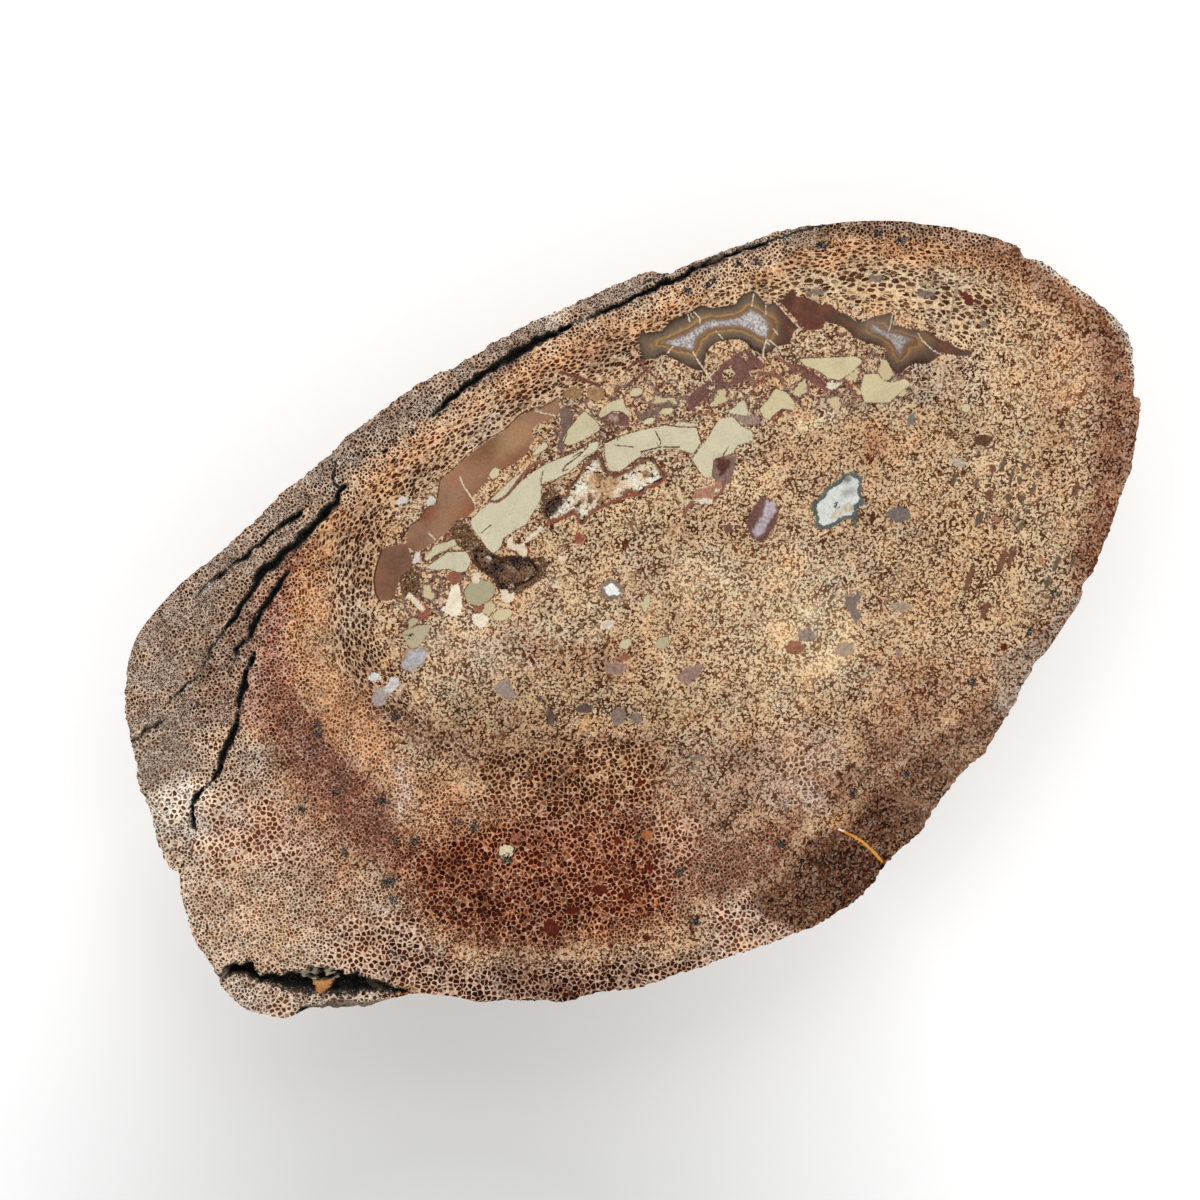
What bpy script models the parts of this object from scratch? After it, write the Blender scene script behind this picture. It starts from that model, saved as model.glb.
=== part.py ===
"""Slab cut across a large dinosaur bone, one face polished, the natural rim left on.

Metres, +Z up. The slab lies on its sawn underside, its long axis along X, and the origin is
the middle of its box at the level it rests on. Outlines on the polished face were read by eye
off a photograph taken from straight above, so they are kept in that picture's pixels and
placed by one function.
"""
import bpy
import bmesh
import numpy as np
from math import cos, pi, radians, sin
from mathutils import Matrix, Vector

# Driving dimensions, in metres
SLAB_LENGTH = 0.280
SLAB_THICKNESS = 0.038
ARRIS = 0.0005            # worn edge between the polish and the rim
RIM_LEAN = 0.0022         # how far the upper rim falls in before it turns under
UNDERCUT = 0.021          # how far the underside is drawn in from the polished outline
UNDERCUT_POWER = 2.3
RELIEF = 0.0014           # height of the lumps on the rim
LEDGE_STEP = 0.0022       # how far each broken ledge on the rim falls in
PIT_DEPTH = 0.0030
PIT_RADIUS = 0.0065
PIT_COUNT = 26
RIM_LENGTH = 0.73         # once round the polished face
LIP_BULGE = 0.0046        # the lump of rim that stands out beyond the polish, lower left
GAP = 0.0003              # clearance between separate pieces
CRACK_DEPTH_BASE = 0.0014
CRACK_DEPTH_PER_WIDTH = 1.15
CREVICE_DEPTH = 0.0075
QUARTZ_HOLLOW_DEPTH = 0.0046
DARK_HOLLOW_DEPTH = 0.0040
HOLLOW_DRAFT = 0.0004     # how much a hollow's wall is drawn in towards its floor

# How finely the rim is divided
RIM_POINTS = 196
RIM_LEVELS = (0, 0.013, 0.08, 0.16, 0.25, 0.34, 0.44, 0.55, 0.67, 0.79, 0.90, 1)   # down from the top
LEDGE_LEVELS = (0.30, 0.50, 0.72)

# The picture: the slab's long axis runs up to the right
PICTURE_TILT = radians(31.0)

# Edge of the polished face, clockwise from the left end (picture pixels)
FACE_OUTLINE = (
    (124, 712), (125, 679), (130, 655), (138, 634), (152, 615), (170, 594), (189, 575),
    (215, 555), (238, 534), (261, 513), (280, 492), (294, 482), (321, 460), (336, 447),
    (350, 432), (370, 418), (384, 407), (400, 394), (427, 378), (441, 370), (453, 367),
    (463, 359), (479, 352), (490, 342), (509, 333), (526, 323), (547, 314), (564, 307),
    (594, 293), (620, 282), (639, 273), (656, 271), (670, 272), (679, 267), (698, 260),
    (726, 249), (754, 239), (782, 229), (820, 224), (859, 221), (899, 221), (941, 225),
    (976, 231), (1000, 238), (1020, 246), (1024, 256), (1043, 260), (1054, 268), (1077, 285),
    (1100, 302), (1122, 322), (1132, 342), (1135, 367), (1135, 393), (1142, 399), (1140, 420),
    (1134, 462), (1124, 491), (1114, 522), (1104, 547), (1096, 569), (1085, 584), (1081, 600),
    (1067, 621), (1047, 651), (1034, 664), (1032, 673), (1022, 689), (1014, 707), (1003, 725),
    (990, 744), (985, 755), (970, 766), (951, 789), (937, 807), (926, 826), (911, 842),
    (895, 856), (883, 870), (869, 890), (848, 907), (819, 925), (791, 937), (758, 949),
    (718, 962), (704, 968), (676, 976), (652, 985), (631, 991), (596, 994), (568, 1002),
    (535, 1002), (505, 1001), (479, 1002), (456, 997), (435, 995), (410, 995), (397, 998),
    (380, 1001), (362, 1003), (346, 1001), (334, 1001), (323, 1006), (309, 1009), (298, 1014),
    (283, 1019), (262, 1015), (240, 1007), (223, 989), (210, 966), (200, 950), (190, 932),
    (186, 915), (179, 895), (178, 875), (170, 869), (162, 858), (156, 839), (151, 819),
    (144, 799), (138, 788), (134, 760), (130, 741))

# Where the rim stands out beyond the polish, and half the length of that lump
LIP_CENTRE = (348, 1002)
LIP_HALF_LENGTH = 0.0150

# Open cracks: (x, y, width), all in picture pixels
CRACKS = {
    "upper_crack": ((806, 213, 4), (796, 232, 3), (780, 239, 3), (749, 248, 4), (721, 257, 5),
                    (691, 270, 6), (670, 280, 6), (642, 293, 6), (614, 307, 5), (596, 315, 3),
                    (578, 320, 2), (566, 326, 6), (540, 340, 8), (511, 356, 10), (490, 370, 8),
                    (459, 392, 7), (445, 406, 7), (431, 416, 2)),
    "left_crack": ((347, 482, 4), (335, 502, 10), (314, 523, 10), (294, 544, 10), (276, 560, 10),
                   (256, 580, 9), (242, 605, 7), (229, 623, 5), (210, 654, 4), (196, 678, 3),
                   (177, 695, 3), (165, 706, 2)),
    "rim_crack": ((327, 446, 3), (335, 470, 4), (336, 482, 5), (342, 494, 5)),
    "outer_crack": ((303, 509, 3), (284, 525, 5), (261, 543, 5), (240, 560, 4), (221, 574, 3),
                    (198, 593, 2)),
    "inner_crack": ((293, 570, 3), (277, 587, 7), (262, 612, 7), (250, 634, 6), (239, 650, 5),
                    (229, 673, 2)),
    "lower_crack": ((255, 653, 3), (247, 672, 9), (240, 693, 6), (236, 728, 8), (224, 752, 6),
                    (212, 781, 4), (197, 796, 5), (191, 812, 7), (195, 833, 2)),
    "left_end_crack": ((162, 720, 2), (144, 733, 3), (124, 749, 3)),
}

# The rough crevice across the lower left corner, open at the rim on its left (pixels)
CREVICE = (
    (203, 975), (222, 967), (234, 963), (247, 960), (258, 970), (289, 973), (321, 968),
    (346, 971), (360, 974), (386, 983), (411, 989), (381, 992), (352, 994), (328, 995),
    (306, 995), (283, 992), (260, 984), (240, 979), (225, 980), (206, 988))

# Mouths of the two crystal-lined hollows (pixels)
QUARTZ_HOLLOW = (
    (598, 454), (604, 471), (614, 477), (630, 471), (641, 461), (650, 458), (658, 468),
    (666, 476), (660, 482), (646, 487), (642, 492), (630, 490), (620, 498), (606, 504),
    (592, 510), (582, 523), (573, 509), (562, 517), (550, 521), (543, 513), (546, 503),
    (556, 495), (567, 498), (570, 488), (578, 480), (583, 470), (590, 461))
DARK_HOLLOW = (
    (474, 546), (487, 553), (500, 559), (520, 557), (534, 562), (540, 572), (530, 582),
    (515, 588), (501, 591), (494, 576), (481, 569), (473, 560))


def closed_curve(points, count):
    """Even points on a smooth closed curve through the given ones (Catmull-Rom)."""
    ring = np.array(points, float)
    before, after, beyond = np.roll(ring, 1, 0), np.roll(ring, -1, 0), np.roll(ring, -2, 0)
    t = np.linspace(0, 1, 12, endpoint=False)[None, :, None]
    dense = 0.5 * (2 * ring[:, None] + (after - before)[:, None] * t
                   + (2 * before - 5 * ring + 4 * after - beyond)[:, None] * t ** 2
                   + (3 * ring - before - 3 * after + beyond)[:, None] * t ** 3)
    dense = dense.reshape(-1, 2)
    dense = np.vstack([dense, dense[:1]])
    length = np.concatenate([[0], np.cumsum(np.hypot(*np.diff(dense, axis=0).T))])
    wanted = np.linspace(0, length[-1], count, endpoint=False)
    return np.column_stack([np.interp(wanted, length, dense[:, i]) for i in (0, 1)])


def turned(points):
    """Picture pixels turned so that the slab's long axis is level and y points up."""
    x, y = np.array(points, float)[:, 0], -np.array(points, float)[:, 1]
    return np.column_stack([x * cos(PICTURE_TILT) + y * sin(PICTURE_TILT),
                            y * cos(PICTURE_TILT) - x * sin(PICTURE_TILT)])


def face_frame():
    """Size of a pixel in metres, and the turned pixel that the part's origin stands under."""
    edge = turned(closed_curve(FACE_OUTLINE, RIM_POINTS))
    low, high = edge.min(0), edge.max(0)
    return SLAB_LENGTH / (high[0] - low[0]), (low + high) / 2


PIXEL, MIDDLE = face_frame()


def placed(points):
    """Picture pixels to metres on the polished face."""
    return (turned(points) - MIDDLE) * PIXEL


def smoothed(ring, passes):
    for _ in range(passes):
        ring = ring / 2 + (np.roll(ring, 1, 0) + np.roll(ring, -1, 0)) / 4
    return ring


def inward_normals(ring):
    """Unit normals that point into a ring drawn clockwise."""
    along = smoothed(np.roll(ring, -2, 0) - np.roll(ring, 2, 0), 4)
    along /= np.hypot(*along.T)[:, None]
    return np.column_stack([along[:, 1], -along[:, 0]])


def rim_relief(depth):
    """How far the rim falls in at each of its points: waves, ledges and pits."""
    rng = np.random.default_rng(41)
    around = np.linspace(0, 1, RIM_POINTS, endpoint=False)
    waves = np.zeros(RIM_POINTS)
    for count in (7, 11, 16, 23, 31, 44):
        phase, slant = rng.uniform(0, 1), rng.integers(-2, 3)
        waves += np.sin(2 * pi * (count * around + slant * depth + phase)) * (9 / (count + 9))
    inset = RELIEF * np.abs(waves)
    for level in LEDGE_LEVELS:
        line = level + 0.07 * np.sin(2 * pi * (rng.integers(2, 5) * around + rng.uniform()))
        share = 0.5 + 0.5 * np.sin(2 * pi * (rng.integers(3, 7) * around + rng.uniform()))
        inset += LEDGE_STEP * share * np.clip((depth - line) / 0.05, 0, 1)
    for _ in range(PIT_COUNT):
        place, level, radius = rng.uniform(0, 1), rng.uniform(0.15, 0.8), rng.uniform(0.5, 1)
        aside = ((around - place + 0.5) % 1 - 0.5) * RIM_LENGTH
        below = (depth - level) * SLAB_THICKNESS
        reach = (aside ** 2 + below ** 2) / (PIT_RADIUS * radius) ** 2
        inset += PIT_DEPTH * radius * np.exp(-reach * 1.5)
    return inset


def rim_ring(edge, depth):
    """Outline of the slab at a share of its thickness down from the polish."""
    rng = np.random.default_rng(7)
    around = np.linspace(0, 1, RIM_POINTS, endpoint=False)
    drift = sum(np.sin(2 * pi * (waves * around + rng.uniform())) for waves in (2, 3, 5)) / 3
    inset = ARRIS * min(depth / RIM_LEVELS[1], 1) + RIM_LEAN * depth
    inset = inset + UNDERCUT * depth ** UNDERCUT_POWER * (1 + 0.30 * drift)
    inset = inset + rim_relief(depth) * min(depth * 6, 1)
    reach = np.hypot(*(edge - placed([LIP_CENTRE])).T) / LIP_HALF_LENGTH
    lip = np.clip(1 - reach ** 2, 0, 1) * sin(pi * min(depth * 1.9, 1)) ** 0.6
    inset = inset - LIP_BULGE * lip
    return smoothed(edge, int(depth * 40)) + inward_normals(smoothed(edge, 60)) * inset[:, None]


def mesh_object(name, bm, collection):
    bm.normal_update()
    mesh = bpy.data.meshes.new(name)
    bm.to_mesh(mesh)
    bm.free()
    obj = bpy.data.objects.new(name, mesh)
    collection.objects.link(obj)
    return obj


def loft(rings):
    """Closed solid through rings of equal length, each a list of 3-D points, top first."""
    bm = bmesh.new()
    rows = [[bm.verts.new(point) for point in ring] for ring in rings]
    for upper, lower in zip(rows, rows[1:]):
        for i in range(len(upper)):
            j = (i + 1) % len(upper)
            bm.faces.new((upper[i], upper[j], lower[j], lower[i]))
    bm.faces.new(rows[0][::-1])
    bm.faces.new(rows[-1])
    bmesh.ops.recalc_face_normals(bm, faces=bm.faces)
    return bm


def at_height(points, z):
    return [(x, y, z) for x, y in points]


def principled(name, colour, roughness):
    material = bpy.data.materials.new(name)
    material.use_nodes = True
    shader = material.node_tree.nodes["Principled BSDF"]
    shader.inputs["Base Color"].default_value = (*colour, 1)
    shader.inputs["Roughness"].default_value = roughness
    shader.inputs["Metallic"].default_value = 0
    return material


def as_cutter(obj):
    obj.hide_render = True
    obj.display_type = "WIRE"
    return obj


def cut(target, cutter, operation="DIFFERENCE"):
    modifier = target.modifiers.new(cutter.name, "BOOLEAN")
    modifier.operation = operation
    modifier.solver = "EXACT"
    modifier.object = cutter


def crack_cutter(name, route, collection):
    """Wedge along a route: full width at the polish, narrowing downwards."""
    lift = 0.0003
    route = np.array(route, float)
    centre, width = placed(route[:, :2]), route[:, 2] * PIXEL
    along = np.gradient(centre, axis=0)
    along /= np.hypot(*along.T)[:, None]
    across = np.column_stack([-along[:, 1], along[:, 0]])
    depth = CRACK_DEPTH_BASE + CRACK_DEPTH_PER_WIDTH * width
    bm = bmesh.new()
    stations = []
    for point, side, wide, deep in zip(centre, across, width, depth):
        corners = ((-0.5, lift), (0.5, lift), (0.17, -deep), (-0.17, -deep))
        stations.append([bm.verts.new((*(point + side * wide * k), SLAB_THICKNESS + z))
                         for k, z in corners])
    for here, ahead in zip(stations, stations[1:]):
        for i in range(4):
            j = (i + 1) % 4
            bm.faces.new((here[i], here[j], ahead[j], ahead[i]))
    bm.faces.new(stations[0])
    bm.faces.new(stations[-1])
    bmesh.ops.recalc_face_normals(bm, faces=bm.faces)
    return as_cutter(mesh_object(name, bm, collection))


def hollow_rings(outline, depth, inset):
    """Rings of a hollow, drawn in by its inset and again towards its floor."""
    mouth = placed(outline)
    inward = inward_normals_of_corners(mouth)
    floor = mouth + inward * (inset + HOLLOW_DRAFT)
    return mouth + inward * inset, floor, SLAB_THICKNESS - depth


def inward_normals_of_corners(ring):
    along = np.roll(ring, -1, 0) - np.roll(ring, 1, 0)
    along /= np.hypot(*along.T)[:, None]
    return np.column_stack([along[:, 1], -along[:, 0]])


def hollow_cutter(name, outline, depth, collection):
    mouth, floor, z = hollow_rings(outline, depth, 0)
    rings = [at_height(mouth, SLAB_THICKNESS + 0.0005), at_height(floor, z)]
    return as_cutter(mesh_object(name, loft(rings), collection))


def crystal(bm, place, radius, height, lean, turn):
    """Six-sided crystal: a short prism under a point, its foot sunk in the crust."""
    stub = height * 0.45
    spin = Matrix.Rotation(turn, 4, "Z")
    tip = Matrix.Translation(place) @ lean @ spin
    made = bmesh.ops.create_cone(bm, cap_ends=True, segments=6, radius1=radius,
                                 radius2=radius * 0.94, depth=stub,
                                 matrix=tip @ Matrix.Translation((0, 0, stub / 2)))
    top = max((face for face in bm.faces if face.is_valid and face.verts[0] in made["verts"]
               and len(face.verts) == 6), key=lambda face: face.calc_center_median().z)
    point = tip @ Vector((0, 0, height))
    bmesh.ops.poke(bm, faces=[top])["verts"][0].co = point


def crust(name, outline, depth, spacing, tallest, seed, material, collection, helpers):
    """Crystals that line a hollow: a thin bed on its floor, fused with the points on it."""
    rng = np.random.default_rng(seed)
    bed = 0.0010
    mouth, floor, floor_z = hollow_rings(outline, depth, GAP * 1.6)
    floor_z += GAP
    obj = mesh_object(name, loft([at_height(floor, floor_z + bed), at_height(floor, floor_z)]),
                      collection)
    low, high = floor.min(0), floor.max(0)
    rows = int((high[1] - low[1]) / (spacing * 0.87)) + 1
    columns = int((high[0] - low[0]) / spacing) + 1
    points = helpers["collection"]
    grown = 0
    for row in range(rows):
        for column in range(columns):
            x = low[0] + (column + (row % 2) / 2 + rng.uniform(-0.25, 0.25)) * spacing
            y = low[1] + (row + rng.uniform(-0.25, 0.25)) * spacing * 0.87
            radius = spacing * rng.uniform(0.42, 0.62)
            height = tallest * rng.uniform(0.45, 1.0)
            heading, tilt = rng.uniform(0, 2 * pi), rng.uniform(0, 0.35)
            lean = Matrix.Rotation(tilt, 4, Vector((cos(heading), sin(heading), 0)))
            if room_inside(floor, (x, y)) < radius * 0.45:
                continue
            bm = bmesh.new()
            crystal(bm, Vector((x, y, floor_z + bed * 0.55)), radius, height, lean,
                    rng.uniform(0, pi))
            as_cutter(mesh_object(f"{name}_point_{grown:02d}", bm, points))
            grown += 1
    joined = obj.modifiers.new("points", "BOOLEAN")
    joined.operation = "UNION"
    joined.solver = "EXACT"
    joined.operand_type = "COLLECTION"
    joined.collection = points
    top = SLAB_THICKNESS - GAP
    walls = loft([at_height(floor, top), at_height(floor, floor_z - 0.001)])
    room = as_cutter(mesh_object(name + "_room", walls, helpers["rooms"]))
    cut(obj, room, "INTERSECT")
    obj.data.materials.append(material)
    return obj


def room_inside(ring, point):
    """Distance from a point to a ring, negative where the point is outside it."""
    start, end = ring, np.roll(ring, -1, 0)
    edge, offset = end - start, np.array(point) - start
    share = np.clip((offset * edge).sum(1) / (edge ** 2).sum(1), 0, 1)
    distance = np.hypot(*(offset - edge * share[:, None]).T).min()
    crossing = (start[:, 1] > point[1]) != (end[:, 1] > point[1])
    with np.errstate(divide="ignore", invalid="ignore"):
        meets = start[:, 0] + (point[1] - start[:, 1]) * edge[:, 0] / edge[:, 1]
    inside = (crossing & (meets > point[0])).sum() % 2 == 1
    return distance if inside else -distance


def bone_slab(collection, cutters):
    """The stone: rings of its rim from the polish down, then its cracks and hollows cut in."""
    edge = placed(closed_curve(FACE_OUTLINE, RIM_POINTS))
    rings = [at_height(rim_ring(edge, depth), SLAB_THICKNESS * (1 - depth))
             for depth in RIM_LEVELS]
    slab = mesh_object("bone_slab", loft(rings), collection)
    for name, route in CRACKS.items():
        cut(slab, crack_cutter(name, route, cutters))
    cut(slab, hollow_cutter("crevice", CREVICE, CREVICE_DEPTH, cutters))
    cut(slab, hollow_cutter("quartz_hollow", QUARTZ_HOLLOW, QUARTZ_HOLLOW_DEPTH, cutters))
    cut(slab, hollow_cutter("dark_hollow", DARK_HOLLOW, DARK_HOLLOW_DEPTH, cutters))
    slab.data.materials.append(principled("petrified_bone", (0.42, 0.26, 0.14), 0.32))
    return slab


def new_collection(name):
    collection = bpy.data.collections.new(name)
    bpy.context.scene.collection.children.link(collection)
    return collection


def main():
    for obj in list(bpy.data.objects):
        bpy.data.objects.remove(obj, do_unlink=True)
    parts = new_collection("dinosaur_bone_cross_section")
    cutters = new_collection("cutters")
    bone_slab(parts, cutters)
    crust("quartz_crust", QUARTZ_HOLLOW, QUARTZ_HOLLOW_DEPTH, 0.0024, 0.0030, 3,
          principled("quartz", (0.86, 0.77, 0.64), 0.25), parts,
          {"collection": new_collection("quartz_points"), "rooms": cutters})
    crust("dark_crust", DARK_HOLLOW, DARK_HOLLOW_DEPTH, 0.0022, 0.0024, 5,
          principled("smoky_quartz", (0.07, 0.035, 0.015), 0.35), parts,
          {"collection": new_collection("dark_points"), "rooms": cutters})


main()
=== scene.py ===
import math
import bpy
import numpy as np
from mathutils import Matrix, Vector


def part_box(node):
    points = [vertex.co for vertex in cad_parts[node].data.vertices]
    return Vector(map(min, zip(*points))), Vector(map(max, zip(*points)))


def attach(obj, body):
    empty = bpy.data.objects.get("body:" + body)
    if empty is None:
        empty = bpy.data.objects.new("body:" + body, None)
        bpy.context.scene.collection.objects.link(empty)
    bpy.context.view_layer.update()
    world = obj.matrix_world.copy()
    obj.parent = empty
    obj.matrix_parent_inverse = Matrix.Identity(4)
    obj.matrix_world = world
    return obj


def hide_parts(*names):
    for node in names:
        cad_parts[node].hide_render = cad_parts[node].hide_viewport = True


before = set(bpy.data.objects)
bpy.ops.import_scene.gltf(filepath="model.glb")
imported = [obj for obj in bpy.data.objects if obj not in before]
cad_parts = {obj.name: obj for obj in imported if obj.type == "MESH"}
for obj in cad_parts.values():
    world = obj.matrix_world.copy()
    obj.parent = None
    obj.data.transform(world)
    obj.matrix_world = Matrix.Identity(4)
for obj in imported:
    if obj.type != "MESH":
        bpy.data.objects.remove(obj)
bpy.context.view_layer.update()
print("frame loaded")


# Small tools
def linear(hexColour):  # sRGB hex to the linear values that a shader takes
    channels = np.array([int(hexColour[i:i + 2], 16) / 255 for i in (1, 3, 5)])
    return np.where(channels <= 0.04045, channels / 12.92, ((channels + 0.055) / 1.055) ** 2.4)


def path(text):  # "x,y x,y ..." in picture pixels; "oval x,y w,h turn" gives an ellipse
    words = text.split()
    if words[0] != "oval":
        return np.array([[float(v) for v in word.split(",")] for word in words])
    (x, y), (wide, high) = [[float(v) for v in word.split(",")] for word in words[1:3]]
    turn = math.radians(float(words[3])) if len(words) > 3 else 0
    t = np.linspace(0, 2 * np.pi, 20, endpoint=False)
    a, b = wide / 2 * np.cos(t), high / 2 * np.sin(t)
    return np.column_stack([x + a * np.cos(turn) + b * np.sin(turn),
                            y - a * np.sin(turn) + b * np.cos(turn)])


def softNoise(x, y, size, seed):  # random values on a square lattice, blended smoothly, -1 to 1
    count = 97
    lattice = np.random.default_rng(seed).uniform(-1, 1, (count, count))
    i, j = np.floor(x / size), np.floor(y / size)
    u, v = x / size - i, y / size - j
    u, v = u * u * (3 - 2 * u), v * v * (3 - 2 * v)
    i, j = i.astype(int) % count, j.astype(int) % count
    k, m = (i + 1) % count, (j + 1) % count
    return ((lattice[i, j] * (1 - u) + lattice[k, j] * u) * (1 - v)
            + (lattice[i, m] * (1 - u) + lattice[k, m] * u) * v)


def shaken(places, seeds, *waves):  # places moved by soft noise; a wave is its size and its shift
    moves = [sum(softNoise(*places.T, size, seed) * shift for size, shift in waves) for seed in seeds]
    return places + np.column_stack(moves)


def smoothStep(low, high, value):
    t = np.clip((value - low) / (high - low), 0, 1)
    return t * t * (3 - 2 * t)


def insideBy(places, outline, reach=60):  # distance in from the nearest side, negative outside
    found = np.full(len(places), -1e3)
    low, high = outline.min(0) - reach, outline.max(0) + reach
    near = np.flatnonzero(((places > low) & (places < high)).all(1))
    x, y = places[near].T
    least = np.full(len(near), 1e12)
    inside = np.zeros(len(near), bool)
    for (ax, ay), (bx, by) in zip(outline, np.roll(outline, -1, 0)):
        ex, ey = bx - ax, by - ay
        share = np.clip(((x - ax) * ex + (y - ay) * ey) / (ex * ex + ey * ey + 1e-12), 0, 1)
        least = np.minimum(least, (x - ax - share * ex) ** 2 + (y - ay - share * ey) ** 2)
        if ay != by:
            inside ^= ((ay > y) != (by > y)) & (x < ax + (y - ay) * ex / ey)
    found[near] = np.where(inside, 1, -1) * np.sqrt(least)
    return found


def insideAny(places, texts, reach):  # the same for the best of several outlines
    return np.maximum.reduce([insideBy(places, path(text), reach) for text in texts])


def alongLine(places, line, reach):
    # for each place: signed offset from the line, the line's third number there, how far past its ends
    offset, third, past = np.full(len(places), 1e3), np.zeros(len(places)), np.full(len(places), 1e3)
    low, high = line[:, :2].min(0) - reach, line[:, :2].max(0) + reach
    near = np.flatnonzero(((places > low) & (places < high)).all(1))
    x, y = places[near].T
    best = np.full(len(near), 1e12)
    for index, (a, b) in enumerate(zip(line[:-1], line[1:])):
        ex, ey = b[0] - a[0], b[1] - a[1]
        long = math.hypot(ex, ey) + 1e-9
        free = ((x - a[0]) * ex + (y - a[1]) * ey) / long ** 2
        share = np.clip(free, 0, 1)
        gap = np.hypot(x - a[0] - share * ex, y - a[1] - share * ey)
        side = np.where((x - a[0]) * ey - (y - a[1]) * ex > 0, 1.0, -1.0)
        closer = gap < best
        best = np.where(closer, gap, best)
        where = near[closer]
        offset[where] = (gap * side)[closer]
        third[where] = (a[2] + (b[2] - a[2]) * share)[closer]
        over = np.zeros(len(near))
        if index == 0:
            over = np.maximum(-free, 0) * long
        if index == len(line) - 2:
            over = np.maximum(over, np.maximum(free - 1, 0) * long)
        past[where] = over[closer]
    return offset, third, past


def nearestLine(places, lines, reach, wider=0, uneven=1):
    # of lines that hold their width as a third number: how far inside the nearest one, signed offset from
    # it, its half-width, which falls away beside and beyond it, and its number
    field, offset, half = (np.full(len(places), start) for start in (-1e3, 1e3, -9.0))
    which = np.full(len(places), -1)
    for number, line in enumerate(lines):
        side, width, past = alongLine(places, line, reach)
        width = (width + wider) * uneven
        here = width / 2 - np.abs(side) - past
        room = np.abs(side) - width / 2 - 3
        fading = width / 2 - 2 * np.maximum(room, 0) - 1.5 * past
        better = here > field
        field, offset = np.where(better, here, field), np.where(better, side, offset)
        half, which = np.where(better, fading, half), np.where(better, number, which)
    return field, offset, np.maximum(half, -30), which


# The picture's pixels and the part's metres
view = {"tilt": math.radians(31), "rimPoints": 196}
faceOutline = path(
    "124,712 125,679 130,655 138,634 152,615 170,594 189,575 215,555 238,534 261,513 280,492 294,482 "
    "321,460 336,447 350,432 370,418 384,407 400,394 427,378 441,370 453,367 463,359 479,352 490,342 "
    "509,333 526,323 547,314 564,307 594,293 620,282 639,273 656,271 670,272 679,267 698,260 726,249 "
    "754,239 782,229 820,224 859,221 899,221 941,225 976,231 1000,238 1020,246 1024,256 1043,260 "
    "1054,268 1077,285 1100,302 1122,322 1132,342 1135,367 1135,393 1142,399 1140,420 1134,462 "
    "1124,491 1114,522 1104,547 1096,569 1085,584 1081,600 1067,621 1047,651 1034,664 1032,673 "
    "1022,689 1014,707 1003,725 990,744 985,755 970,766 951,789 937,807 926,826 911,842 895,856 "
    "883,870 869,890 848,907 819,925 791,937 758,949 718,962 704,968 676,976 652,985 631,991 596,994 "
    "568,1002 535,1002 505,1001 479,1002 456,997 435,995 410,995 397,998 380,1001 362,1003 346,1001 "
    "334,1001 323,1006 309,1009 298,1014 283,1019 262,1015 240,1007 223,989 210,966 200,950 190,932 "
    "186,915 179,895 178,875 170,869 162,858 156,839 151,819 144,799 138,788 134,760 130,741")


def closedCurve(points, count, steps=12):
    # Catmull-Rom through the points in steps, then even steps along its length
    before, after, beyond = (np.roll(points, step, 0) for step in (1, -1, -2))
    t = np.linspace(0, 1, steps, endpoint=False)[None, :, None]
    dense = 0.5 * (2 * points[:, None] + (after - before)[:, None] * t
                   + (2 * before - 5 * points + 4 * after - beyond)[:, None] * t ** 2
                   + (3 * points - before - 3 * after + beyond)[:, None] * t ** 3)
    dense = dense.reshape(-1, 2)
    dense = np.vstack([dense, dense[:1]])
    length = np.concatenate([[0], np.cumsum(np.hypot(*np.diff(dense, axis=0).T))])
    wanted = np.linspace(0, length[-1], count, endpoint=False)
    return np.column_stack([np.interp(wanted, length, dense[:, i]) for i in (0, 1)])


def turned(points):  # a picture's places or directions, turned to the part's axes
    x, y, t = points[:, 0], -points[:, 1], view["tilt"]
    return np.column_stack([x * math.cos(t) + y * math.sin(t), y * math.cos(t) - x * math.sin(t)])


stoneLow, stoneHigh = (np.array(corner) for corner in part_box("bone_slab"))
level = turned(closedCurve(faceOutline, view["rimPoints"]))
pixel = (stoneHigh[0] - stoneLow[0]) / np.ptp(level[:, 0])   # metres
middle = (level.min(0) + level.max(0)) / 2 - (stoneLow + stoneHigh)[:2] / 2 / pixel
top = stoneHigh[2]


def placed(points):  # pixels to metres on the face
    return (turned(points) - middle) * pixel


def spot(pair):  # one pixel to metres
    return placed(np.array([pair], float))[0]


def pictured(places):  # metres back to pixels
    x, y = (places / pixel + middle).T
    t = view["tilt"]
    return np.column_stack([x * math.cos(t) - y * math.sin(t), -(x * math.sin(t) + y * math.cos(t))])


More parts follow.
